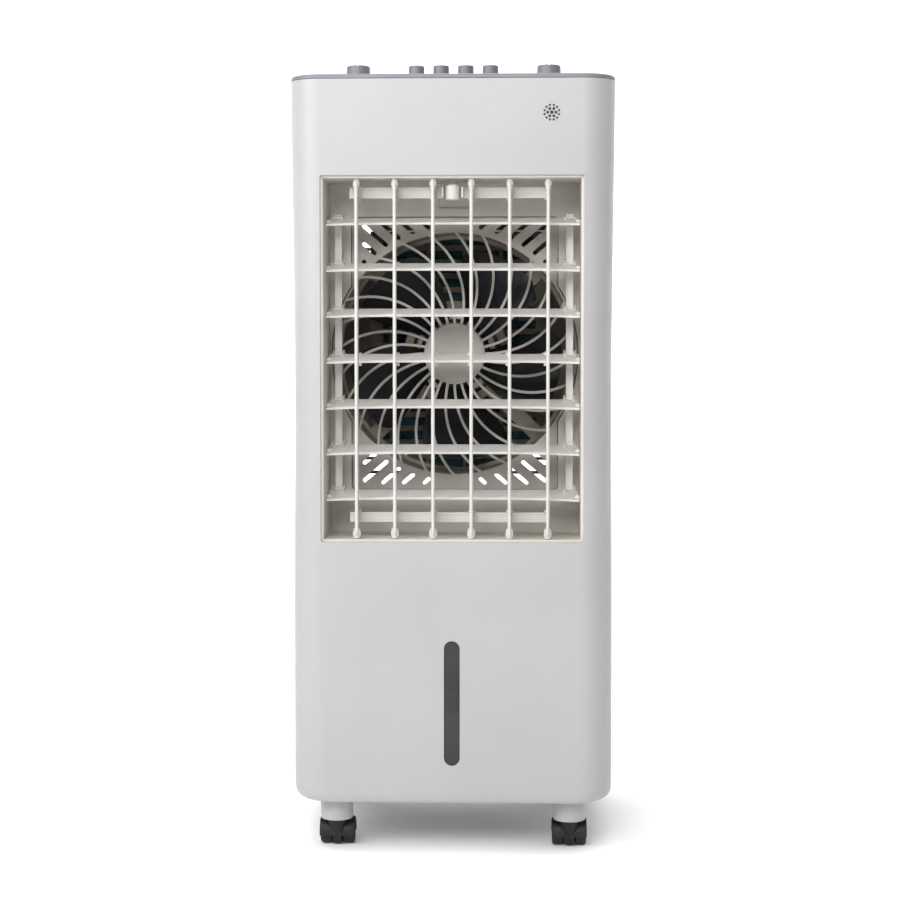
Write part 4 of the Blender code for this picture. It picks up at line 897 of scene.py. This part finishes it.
def slat_mesh():
    """A slat about its own axis: a swept plate with a beaded nose, end hubs and forked ears at the links."""
    rear = 20 * MM
    notch = 3.7 * MM
    notch_end = rear - 4 * MM
    steps = 36
    xs = [SLAT_REACH * (2 * i / steps - 1) for i in range(steps + 1)]
    rear_edge = [(SLAT_REACH, rear)]
    for link_x in (SLAT_LINK_X, -SLAT_LINK_X):
        rear_edge += [(link_x + notch, rear), (link_x + notch, notch_end),
                      (link_x - notch, notch_end), (link_x - notch, rear)]
    rear_edge.append((-SLAT_REACH, rear))
    outline = [(x, slat_front(x)) for x in xs] + rear_edge
    bead = 1.25 * MM
    nose = [[(x, slat_front(x) + 1.3 * MM + bead * math.cos(a), bead * math.sin(a))
             for a in angles(30, 0, 12)] for x in xs[1:-1]]
    parts = [level_flat([outline], -SLAT_THICK / 2, SLAT_THICK / 2, 0.3 * MM), loft(nose)]
    tip = SLAT_LINK_ARM + 3 * MM
    seat = SLAT_LINK_ARM - LINK_FORK
    ear = [(12 * MM, -2.6 * MM), (tip, -3 * MM), (tip, -LINK_FORK), (seat, -LINK_FORK),
           (seat, LINK_FORK), (tip, LINK_FORK), (tip, 3 * MM), (12 * MM, 2.6 * MM)]
    pin_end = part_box("slat_1")[1].x
    for side in (1, -1):
        for offset in (-4.55 * MM, 4.55 * MM):
            x = side * SLAT_LINK_X + offset
            parts.append(side_flat([ear], x - 0.8 * MM, x + 0.8 * MM, 0.25 * MM))
        for radius, stretch, segments, edge in (
                (1.5 * MM, span(side, SLAT_REACH - 4 * MM, pin_end), 20, 0.2 * MM),
                (2.6 * MM, span(side, SLAT_REACH - 3.5 * MM, SLAT_REACH + 0.3 * MM), 24, 0.4 * MM)):
            parts.append(rod(radius, (stretch[0], 0, 0), (stretch[1], 0, 0), "X", segments, edge))
    return together(*parts)


def make_slats():
    for index in range(1, SLAT_COUNT + 1):
        place = move(*axis_of("slat_tilt", index)) @ Matrix.Rotation(SLAT_TILT, 4, "X")
        place_piece(moved(slat_mesh(), place), f"slat_{index}_blade", f"slat_{index}", SLAT_PAINTED_LIGHT,
                    "grille_white", f"slat_{index}")


def make_slat_links():
    """Upright bars with stiffening edges and a boss at each slat."""
    pivot = axis_of("slat_links_turn")
    y = pivot.y
    half = 3.25 * MM
    for node, side in (("slat_link_left", -1), ("slat_link_right", 1)):
        low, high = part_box(node)
        x = side * SLAT_LINK_X
        parts = [block((x - half, y - 0.6 * MM, low.z), (x + half, y + 1.5 * MM, high.z), 0.3 * MM)]
        for edge in (-1, 1):
            near, far = sorted((x + edge * half, x + edge * 2.05 * MM))
            parts.append(block((near, y - 1.5 * MM, low.z), (far, y + 1.2 * MM, high.z), 0.3 * MM))
        for index in range(1, SLAT_COUNT + 1):
            z = pivot.z + axis_of("slat_tilt", index).z - axis_of("slat_tilt").z
            for radius, reach, segments in ((LINK_PIN, 5.95 * MM, 16), (1.9 * MM, 3.5 * MM, 20)):
                parts.append(rod(radius, (x - reach, y, z), (x + reach, y, z), "X", segments, 0.2 * MM))
        place_piece(together(*parts), f"{node}_bar", "slat_links", SLAT_PAINTED_LIGHT, "grille_white", node)


def make_outlet_frame():
    moulding_of("outlet_frame", "outlet_liner", "housing", LINER_PAINTED_SHADE, "grille_white", 0.35 * MM)


# ---------------------------------------------------------------- fan

FAN_Z = axis_of("fan_spin").z
PLATE_FRONT = -50 * MM
GRILLE_THICK = 3 * MM
GRILLE_HALF_WIDTH = 94.2 * MM
GRILLE_HALF_HEIGHT = 124.4 * MM
GRILLE_RING = 112.4 * MM
GRILLE_OPENING = 110.2 * MM
GRILLE_HUB = 27.9 * MM
RIB_COUNT = 28
RIB_WIDTH = 2.5 * MM
RIB_SWEEP = math.radians(25)
BLADE_COUNT = 5
BLADE_START = math.radians(-20)
VENT_COUNT = 12


def polar(radius, angle):
    return (radius * math.cos(angle), FAN_Z + radius * math.sin(angle))


def rib_angle(radius):
    return RIB_SWEEP * ((radius - GRILLE_HUB) / (GRILLE_OPENING - GRILLE_HUB)) ** 1.55


def rib_half_angle(radius):
    step = 0.1 * MM
    slope = radius * (rib_angle(radius + step) - rib_angle(radius)) / step
    return RIB_WIDTH / 2 * math.sqrt(1 + slope ** 2) / radius


def rib_opening(index):
    pitch = 2 * math.pi / RIB_COUNT
    start = index * pitch
    steps = 16
    radii = [GRILLE_HUB + (GRILLE_OPENING - GRILLE_HUB) * i / steps for i in range(steps + 1)]
    lead = [polar(r, start + rib_angle(r) + rib_half_angle(r)) for r in radii]
    trail = [polar(r, start + pitch + rib_angle(r) - rib_half_angle(r)) for r in radii]
    ends = [start + RIB_SWEEP + pitch * share for share in (0.3, 0.5, 0.7)]
    return lead + [polar(GRILLE_OPENING, a) for a in ends] + list(reversed(trail))


def corner_slots():
    slope = math.radians(40.5)
    width = 3.8 * MM
    inner = 115.5 * MM + width / 2
    reach_x = 84.5 * MM - width / 2
    reach_z = 120.0 * MM - width / 2
    slots = []
    for up in (1, -1):
        offsets = [22.3 * MM + 12.4 * MM * k for k in range(5)]
        if up == 1:
            offsets.insert(0, 9.9 * MM)
        for side in (1, -1):
            for offset in offsets:
                start = math.sqrt(inner ** 2 - offset ** 2)
                end = min((reach_x + offset * math.sin(slope)) / math.cos(slope),
                          (reach_z - offset * math.cos(slope)) / math.sin(slope))
                ends = []
                for along in (start, max(end, start + 0.5 * MM)):
                    x = along * math.cos(slope) - offset * math.sin(slope)
                    z = along * math.sin(slope) + offset * math.cos(slope)
                    ends.append((side * x, FAN_Z + up * z))
                slots.append(slot_outline(ends[0], ends[1], width, 6))
    return slots


def grille_outline(grow=0.0):
    x = GRILLE_HALF_WIDTH + grow
    z = GRILLE_HALF_HEIGHT + grow
    ring = GRILLE_RING + grow
    meet = math.degrees(math.acos(x / ring))
    radius = 3.5 * MM
    right = arc((0, 0), ring, -meet, meet, 24)
    corner = arc((x - radius, z - radius), radius, 0, 90, 6)
    half = right + corner
    half += [(-px, pz) for px, pz in reversed(corner)]
    left = [(-px, pz) for px, pz in reversed(right)]
    below = [(px, -pz) for px, pz in reversed(half[len(right):])]
    return [(px, FAN_Z + pz) for px, pz in half + left + below]


def make_fan_grille():
    """Swirl guard: a pierced plate, a hub disc with a raised rim, and a ring round the opening."""
    outlines = [grille_outline(-0.35 * MM)] + [rib_opening(i) for i in range(RIB_COUNT)] + corner_slots()
    back = PLATE_FRONT + GRILLE_THICK
    guard = front_flat(outlines, PLATE_FRONT, back, 0.45 * MM, 1)
    r = GRILLE_HUB - 0.4 * MM
    profile = [(0, 0.55 * MM), (r - 2.2 * MM, 0.55 * MM), (r - 1.8 * MM, 0.0), (r - 0.6 * MM, 0.0),
               (r, 0.7 * MM), (r, 3.3 * MM), (0, 3.3 * MM)]
    hub_place = move(0, PLATE_FRONT - 1.5 * MM, FAN_Z) @ FACING_Y
    hub = turned([(a, -b) for a, b in profile], 72, hub_place)
    place_piece(together(guard, hub), "swirl_guard", "housing", GUARD_PAINTED_SHADE, "grille_white", "fan_grille",
                smooth=38)
    # A near-black ring set back in the gap round the plate: painted shadow in that gap, not a real part.
    gap_shadow = front_flat([grille_outline(0.35 * MM), grille_outline(-0.25 * MM)], PLATE_FRONT + 0.9 * MM, back)
    place_piece(gap_shadow, "guard_gap_shadow", "housing", PAINTED_SHADOW_BLACK, "grille_white")


def make_fan_duct():
    """Plain duct with a flange behind the guard, and the motor's spider."""
    low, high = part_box("fan_shroud")
    inner = 110 * MM
    wall = 2 * MM
    flange = (high.x - low.x) / 2
    profile = [(inner, low.y), (flange, low.y), (flange, low.y + wall), (inner + wall, low.y + wall),
               (inner + wall, high.y), (inner, high.y)]
    ring = ring_of(profile, 96, move(0, 0, FAN_Z) @ ALONG_Y)
    place_piece(soften(ring, 0.4 * MM, 2), "fan_duct", "housing", HOLDER, "holder_beige", "fan_shroud")
    moulding_of("motor_bracket", "motor_spider", "housing", HOLDER, "holder_beige", 0.6 * MM)


def blade_mesh():
    """One twisted, cambered blade with a rounded tip, from inside the hub outwards."""
    tip = 98 * MM
    root = 27 * MM
    radial_steps = 20
    chord_steps = 18
    bm = bmesh.new()
    rows = []
    for i in range(radial_steps + 1):
        share = i / radial_steps
        radius = root + (tip - root) * share
        half_span = math.radians(24 + 4 * math.sin(math.pi * share))
        if share > 0.85:
            half_span *= math.sqrt(max(0.0, 1 - ((share - 0.85) / 0.15) ** 2 * 0.45))
        pitch = math.radians(36 - 15 * share)
        row = []
        for j in range(chord_steps + 1):
            along = 2 * j / chord_steps - 1
            angle = half_span * along + math.radians(10) * share
            camber = 2.2 * MM * (1 - along ** 2)
            depth = radius * half_span * along * math.tan(pitch) - camber
            row.append(bm.verts.new((radius * math.cos(angle), radius * math.sin(angle), -depth)))
        rows.append(row)
    skin(bm, rows, closed=False)
    obj = from_bmesh(bm)
    thick = obj.modifiers.new("thickness", "SOLIDIFY")
    thick.thickness = 1.8 * MM
    thick.offset = 0
    bake(obj)
    return soften(obj, 0.5 * MM, 2, 60)


def make_impeller():
    hub_front = -41.7 * MM
    hub_back = -12 * MM
    middle = move(0, (hub_front + hub_back) / 2, FAN_Z) @ FACING_Y
    parts = []
    for i in range(BLADE_COUNT):
        wing = moved(blade_mesh(), Matrix.Rotation(2 * math.pi * i / BLADE_COUNT + BLADE_START, 4, "Z"))
        parts.append(moved(wing, middle))
    depth = hub_back - hub_front
    cup = mm((4.4, 0), (24, 0), (29.5, 0.8), (31.4, 2.6), (32, 5))
    cup += [(32 * MM, depth), (29.6 * MM, depth), (29.6 * MM, 4 * MM), (9 * MM, 4 * MM), (9 * MM, depth),
            (4.4 * MM, depth)]
    parts.append(ring_of(cup, 72, move(0, hub_front, FAN_Z) @ ALONG_Y))
    place_piece(together(*parts), "axial_impeller", "fan", FAN, "fan_black", "fan_impeller", smooth=44)
    moulding_of("fan_shaft", "fan_spindle", "fan", STEEL, "motor_steel", 0.5 * MM)
    moulding_of("fan_nut", "spinner_nut", "fan", FAN, "fan_black", 0.5 * MM)


def make_motor():
    """Pressed can with a vented end, through-bolts and a band of winding behind the vents."""
    low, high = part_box("fan_motor")
    radius = (high.x - low.x) / 2
    groove = radius - 0.9 * MM
    front = low.y
    can = [(0, high.y), (12.8 * MM, high.y), (14 * MM, high.y - 1.2 * MM)]
    can += mm((14, 41), (32, 40), (38.5, 39))
    can += [(radius, 36 * MM), (radius, 18.6 * MM), (groove, 18.0 * MM), (groove, 14.6 * MM),
            (radius, 14 * MM), (radius, -1.6 * MM), (radius - 3.4 * MM, front + 0.6 * MM),
            (radius - 4.4 * MM, front), (4.4 * MM, front), (4.4 * MM, 30 * MM), (0, 30 * MM)]
    centre = move(0, 0, FAN_Z)
    body = turned(can, 72, centre @ ALONG_Y)
    vents = [moved(block(mm(-2.2, 34, 20), mm(2.2, 50, 31), 1 * MM),
                   centre @ Matrix.Rotation(2 * math.pi * i / VENT_COUNT, 4, "Y"))
             for i in range(VENT_COUNT)]
    cut(body, together(*vents))
    place_piece(body, "motor_can", "housing", STEEL, "motor_steel", "fan_motor", smooth=36)
    coil = ring_of(mm((19.6, 36.5), (31.6, 36.5), (31.6, 33.8), (19.6, 33.8)), 60, centre @ ALONG_Y)
    place_piece(soften(coil, 0.8 * MM), "motor_winding", "housing", COPPER, "motor_steel")
    spots = [polar(35.2 * MM, math.radians(45 + 90 * i)) for i in range(4)]
    bolts = [screw_head(2.6 * MM, move(x, 39.9 * MM, z) @ ALONG_Y) for x, z in spots]
    place_piece(together(*bolts), "motor_bolts", "housing", SCREW, "motor_steel")


# ---------------------------------------------------------------- water system and rear

PAD_FOOT_HALF = 50 * MM
PAD_STEP = 345 * MM
BAFFLE_REACH = 127 * MM
BAFFLE_HEIGHTS = mm(352, 536)
SCREW_HEIGHTS = mm(235, 440, 648)


def pad_outline(grow):
    """Front view of the pad, with its narrower foot, made larger all round by grow."""
    low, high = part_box("cooling_pad")
    half = high.x + grow
    foot = PAD_FOOT_HALF + grow
    step = PAD_STEP - grow
    bottom = low.z - grow
    top = high.z + grow
    return [(-half, top), (-half, step), (-foot, step), (-foot, bottom),
            (foot, bottom), (foot, step), (half, step), (half, top)]


def fluted_block(low, high):
    """A block whose two faces are fluted in crossed slanting waves."""
    columns = int((high[0] - low[0]) / (1.6 * MM))
    rows = int((high[2] - low[2]) / (1.3 * MM))
    depth = 1.1 * MM
    bm = bmesh.new()
    rims = []
    for y, out, lean in ((low[1], 1, 0.9), (high[1], -1, -0.9)):
        grid = []
        for j in range(rows + 1):
            z = low[2] + (high[2] - low[2]) * j / rows
            row = []
            for i in range(columns + 1):
                x = low[0] + (high[0] - low[0]) * i / columns
                wave = 0.5 + 0.5 * math.sin(2 * math.pi * (z + lean * x) / (7 * MM))
                edge = i in (0, columns) or j in (0, rows)
                row.append(bm.verts.new((x, y + (0 if edge else out * depth * wave), z)))
            grid.append(row)
        skin(bm, grid, closed=False)
        rims.append(grid[0] + [row[-1] for row in grid[1:]] + grid[-1][-2::-1]
                    + [row[0] for row in grid[-2:0:-1]])
    skin(bm, rims, closed=True)
    return from_bmesh(bm)


def make_pad():
    """Corrugated cellulose, with a narrower foot."""
    low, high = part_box("cooling_pad")
    main = fluted_block((low.x, low.y, PAD_STEP), (high.x, high.y, high.z))
    foot = fluted_block((-PAD_FOOT_HALF, low.y, low.z), (PAD_FOOT_HALF, high.y, PAD_STEP))
    place_piece(together(main, foot), "cellulose_block", "housing", PAD, "pad_teal", "cooling_pad", smooth=60)


def make_pad_frame():
    """Pad tray: rounded level bars, with uprights behind them, a closed rim and two side baffles."""
    low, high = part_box("pad_frame")
    pad_low, pad_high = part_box("cooling_pad")
    rim = 2 * MM
    wall = 1.7 * MM
    border = 12 * MM
    bar = 5.6 * MM
    pitch = 13.6 * MM
    rows = 17
    first = (pad_low.z + pad_high.z) / 2 - (rows * pitch - bar) / 2
    outlines = [pad_outline(rim)]
    for i in range(rows):
        z = first + i * pitch
        reach = (pad_high.x if z > PAD_STEP else PAD_FOOT_HALF) + rim - border
        outlines.append(rounded_rectangle((-reach, z), (reach, z + pitch - bar), 1 * MM, 2))
    parts = [front_flat(outlines, low.y, low.y + 2.4 * MM, 0.5 * MM)]
    for x in mm(-67, -31, 5, 41):
        bottom = PAD_STEP if abs(x) > PAD_FOOT_HALF else low.z + 4 * MM
        parts.append(block((x - 1.8 * MM, low.y + 0.5 * MM, bottom),
                           (x + 1.8 * MM, low.y + 2.6 * MM, high.z - 4 * MM), 0.4 * MM))
    parts.append(front_flat([pad_outline(rim), pad_outline(rim - wall)], low.y + 1 * MM, high.y, 0.3 * MM))
    for side in (1, -1):
        near, far = span(side, high.x - 1 * MM, BAFFLE_REACH)
        parts.append(block((near, high.y - 3 * MM, BAFFLE_HEIGHTS[0]),
                           (far, high.y - 1 * MM, BAFFLE_HEIGHTS[1]), 0.3 * MM))
    place_piece(together(*parts), "pad_tray", "housing", HOLDER, "holder_beige", "pad_frame")


def make_rear_grille():
    """Intake frame: rounded level bars with a middle upright, and a lip that fits the opening."""
    low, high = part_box("rear_grille")
    inset = 3 * MM
    intake = high.x - inset
    rows = 24
    bar = 3.0 * MM
    bottom = low.z + inset + 7 * MM
    pitch = (high.z - inset - 7 * MM - bottom + bar) / rows
    outlines = [rounded_rectangle((low.x, low.z), (high.x, high.z), 5 * MM, 6)]
    for i in range(rows):
        z = bottom + i * pitch
        for side in (1, -1):
            near, far = span(side, 3 * MM, intake - 6 * MM)
            outlines.append(rounded_rectangle((near, z), (far, z + pitch - bar), 1.6 * MM, 2))
    front = BACK_Y + 0.4 * MM
    parts = [front_flat(outlines, front, high.y, 0.6 * MM, 2)]
    lip = intake - 0.5 * MM
    low_lip = low.z + inset + 0.5 * MM
    top_lip = high.z - inset - 0.5 * MM
    wall = 2.6 * MM
    parts.append(front_flat([rectangle((-lip, low_lip), (lip, top_lip)),
                             rectangle((-lip + wall, low_lip + wall), (lip - wall, top_lip - wall))],
                            low.y, front + 1 * MM, 0.3 * MM))
    place_piece(together(*parts), "intake_grille", "rear_grille", SHELL, "shell_white", "rear_grille")


def make_tank():
    """Open drawer with filleted walls and a finger pocket in its back."""
    low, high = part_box("water_tank")
    wall = 2.2 * MM
    tank = block(low, high, 1 * MM, 3)
    pocket = rounded_rectangle(mm(-48, 148), mm(48, 174), 8 * MM, 8)
    cut(tank,
        block((low.x + wall, low.y + wall, low.z + wall), (high.x - wall, 106 * MM, high.z + 9 * MM),
              4 * MM, 4),
        front_flat([pocket], 110 * MM, high.y + 5 * MM))
    place_piece(tank, "tank_moulding", "water_tank", TANK, "tank_clear", "water_tank")
    moulding_of("tank_latch", "tank_turn_button", "tank_latch", INNER, "inner_grey", 0.5 * MM)


def make_water_parts():
    moulding_of("pump", "pump_body", "housing", INNER, "inner_grey", 0.9 * MM, 3)
    moulding_of("distributor", "drip_trough", "housing", HOLDER, "holder_beige", 0.4 * MM)
    moulding_of("mid_deck", "mid_deck_plate", "housing", SHELL, "shell_white", 0.4 * MM)
    moulding_of("supply_hose", "riser_hose", "housing", HOSE, "tank_clear", 0.05 * MM, 1)
    moulding_of("cord_gland", "cord_gland_bush", "housing", INNER, "inner_grey", 0.4 * MM)


def make_rear_screws():
    """Pan-head screws that hold the rear shell."""
    heads = [screw_head(3.2 * MM, move(x, BACK_Y + 0.3 * MM, z) @ ALONG_Y)
             for x in mm(-118, 118) for z in SCREW_HEIGHTS]
    place_piece(together(*heads), "rear_shell_screws", "housing", SCREW, "motor_steel")


# ---------------------------------------------------------------- casters

WHEEL_RADIUS = 11 * MM


def hood_mesh():
    """Twin-wheel hood about its stem: a rolled cover, a web, a boss in front and a grip-ring stem."""
    trail = 9 * MM
    z = WHEEL_RADIUS
    side = 15.7 * MM
    reach = 40 * MM
    below = -9 * MM
    shell = rod(WHEEL_RADIUS + 2 * MM, (-side, trail, z), (side, trail, z), "X", 72, 0.8 * MM)
    cut(shell, block((-side - 1 * MM, trail - reach, below), (side + 1 * MM, trail + reach, 1.8 * MM)))
    for turn in (1, -1):
        near, far = span(turn, 3.9 * MM, side + 9 * MM)
        cut(shell,
            rod(WHEEL_RADIUS + 0.6 * MM, (near, trail, z), (far, trail, z), "X", 64),
            block((near, trail - reach, below), (far, trail + reach, 9 * MM)))
    soften(shell, 0.35 * MM, 2, 40)
    boss = turned(mm((0, 24.6), (7.2, 24.6), (8.4, 23.8), (8.0, 20), (6.2, 14), (4.4, 10.5), (0, 9.6)), 40)
    stem = turned(mm((0, 43), (3.4, 43), (4.2, 42), (4.2, 24), (0, 24)), 32)
    return together(shell, boss, stem)


def wheels_mesh():
    """Two treaded wheels with dished, ribbed faces on one axle, about the axle."""
    out = 15.2 * MM
    # radius, how far the face lies inside the outer side
    face = mm((0, 1.4), (2.6, 1.4), (3.0, 0.6), (4.6, 0.6), (5.0, 1.6), (8.2, 1.6), (8.7, 0.2), (9.4, 0),
              (10.4, 0.6), (11, 2.2))
    half = [(radius, out - depth) for radius, depth in face]
    half += mm((11, 6.2), (10.5, 5.2), (9.6, 4.4), (2, 4.4))
    profile = half + [(radius, -height) for radius, height in reversed(half)]
    parts = [turned(profile, 64, ALONG_X)]
    for side in (1, -1):
        near, far = span(side, out - 1.8 * MM, out - 0.7 * MM)
        for k in range(6):
            rib = block((near, -0.5 * MM, 4.4 * MM), (far, 0.5 * MM, 8.6 * MM), 0.2 * MM)
            parts.append(moved(rib, Matrix.Rotation(math.radians(60 * k), 4, "X")))
    return together(*parts)


def make_casters():
    for k in range(1, 5):
        stem = axis_of(f"caster_swivel_{k}")
        axle = axis_of(f"caster_roll_{k}")
        place_piece(shifted(hood_mesh(), stem.x, stem.y), f"caster_{k}_hood", f"caster_swivel_{k}", NYLON,
                    "caster_black", f"caster_hood_{k}", smooth=42)
        place_piece(shifted(wheels_mesh(), *axle), f"caster_{k}_wheels", f"caster_wheels_{k}", NYLON,
                    "caster_black", f"caster_wheels_{k}")


# ---------------------------------------------------------------- studio

def plain_material(name, color, roughness):
    material = bpy.data.materials.new(name)
    material.use_nodes = True
    shader = material.node_tree.nodes["Principled BSDF"]
    shader.inputs["Base Color"].default_value = (*color, 1)
    shader.inputs["Roughness"].default_value = roughness
    return material


def make_floor():
    bm = bmesh.new()
    bmesh.ops.create_grid(bm, x_segments=1, y_segments=1, size=8)
    floor = from_bmesh(bm, recalculate=False)
    floor.name = "studio_floor"
    floor.data.materials.append(plain_material("floor_paper", (0.93, 0.93, 0.93), 0.9))


def make_backdrop():
    """A bright wall well behind the object, as a product studio has."""
    bm = bmesh.new()
    bmesh.ops.create_grid(bm, x_segments=1, y_segments=1, size=1)
    place = move(0, 4.5, 3) @ FACING_Y @ Matrix.Diagonal((9, 5, 1, 1))
    bmesh.ops.transform(bm, matrix=place, verts=bm.verts)
    wall = from_bmesh(bm, recalculate=False)
    wall.name = "studio_backdrop"
    material = plain_material("backdrop_light", (1, 1, 1), 1)
    shader = material.node_tree.nodes["Principled BSDF"]
    shader.inputs["Emission Color"].default_value = (1, 1, 1, 1)
    shader.inputs["Emission Strength"].default_value = 1.0
    wall.data.materials.append(material)


def area_light(name, place, target, size, power):
    """A square softbox that faces its target."""
    data = bpy.data.lights.new(name, "AREA")
    data.shape = "RECTANGLE"
    data.size = size
    data.size_y = size
    data.energy = power
    light = bpy.data.objects.new(name, data)
    bpy.context.scene.collection.objects.link(light)
    light.location = place
    light.rotation_euler = (Vector(target) - Vector(place)).to_track_quat("-Z", "Y").to_euler()


def make_lights():
    area_light("key_softbox", (-0.85, -0.85, 0.95), (0, -0.1, 0.42), 0.7, 10)
    area_light("fill_softbox", (-0.25, -2.1, 1.45), (0, 0, 0.42), 0.9, 25)
    area_light("top_softbox", (0, 0, 2.4), (0, 0, 0), 2.4, 34)
    world = bpy.data.worlds.new("studio")
    bpy.context.scene.world = world
    world.use_nodes = True
    background = world.node_tree.nodes["Background"]
    background.inputs["Color"].default_value = (1, 1, 1, 1)
    background.inputs["Strength"].default_value = 0.5
    bpy.context.scene.view_settings.view_transform = "Standard"


VIEW_DISTANCE = 1.7
VIEW_X = 60 * MM
VIEW_Z = 455 * MM
FRAME_PIXELS = 914
PIXELS_PER_METRE = 1143
AIM_X = 4.6 * MM
AIM_Z = 377.8 * MM
FRAMING_SHIFT = -0.0315


def make_camera():
    data = bpy.data.cameras.new("camera")
    data.sensor_width = 36
    data.lens = PIXELS_PER_METRE * VIEW_DISTANCE / FRAME_PIXELS * data.sensor_width
    data.shift_y = FRAMING_SHIFT
    camera = bpy.data.objects.new("camera", data)
    bpy.context.scene.collection.objects.link(camera)
    camera.location = (VIEW_X, FRONT_Y - VIEW_DISTANCE, VIEW_Z)
    aim = Vector((AIM_X, FRONT_Y, AIM_Z))
    camera.rotation_euler = (aim - camera.location).to_track_quat("-Z", "Y").to_euler()
    bpy.context.scene.camera = camera


# ---------------------------------------------------------------- everything

make_front_shell()
make_rear_shell()
make_top_panel()
make_base_pan()
make_controls()
make_level_window()
make_outlet_frame()
make_vanes()
make_vane_links()
make_swing_drive()
make_slats()
make_slat_links()
make_fan_grille()
make_fan_duct()
make_impeller()
make_motor()
make_pad()
make_pad_frame()
make_rear_grille()
make_tank()
make_water_parts()
make_rear_screws()
make_casters()
make_floor()
make_backdrop()
make_lights()
make_camera()
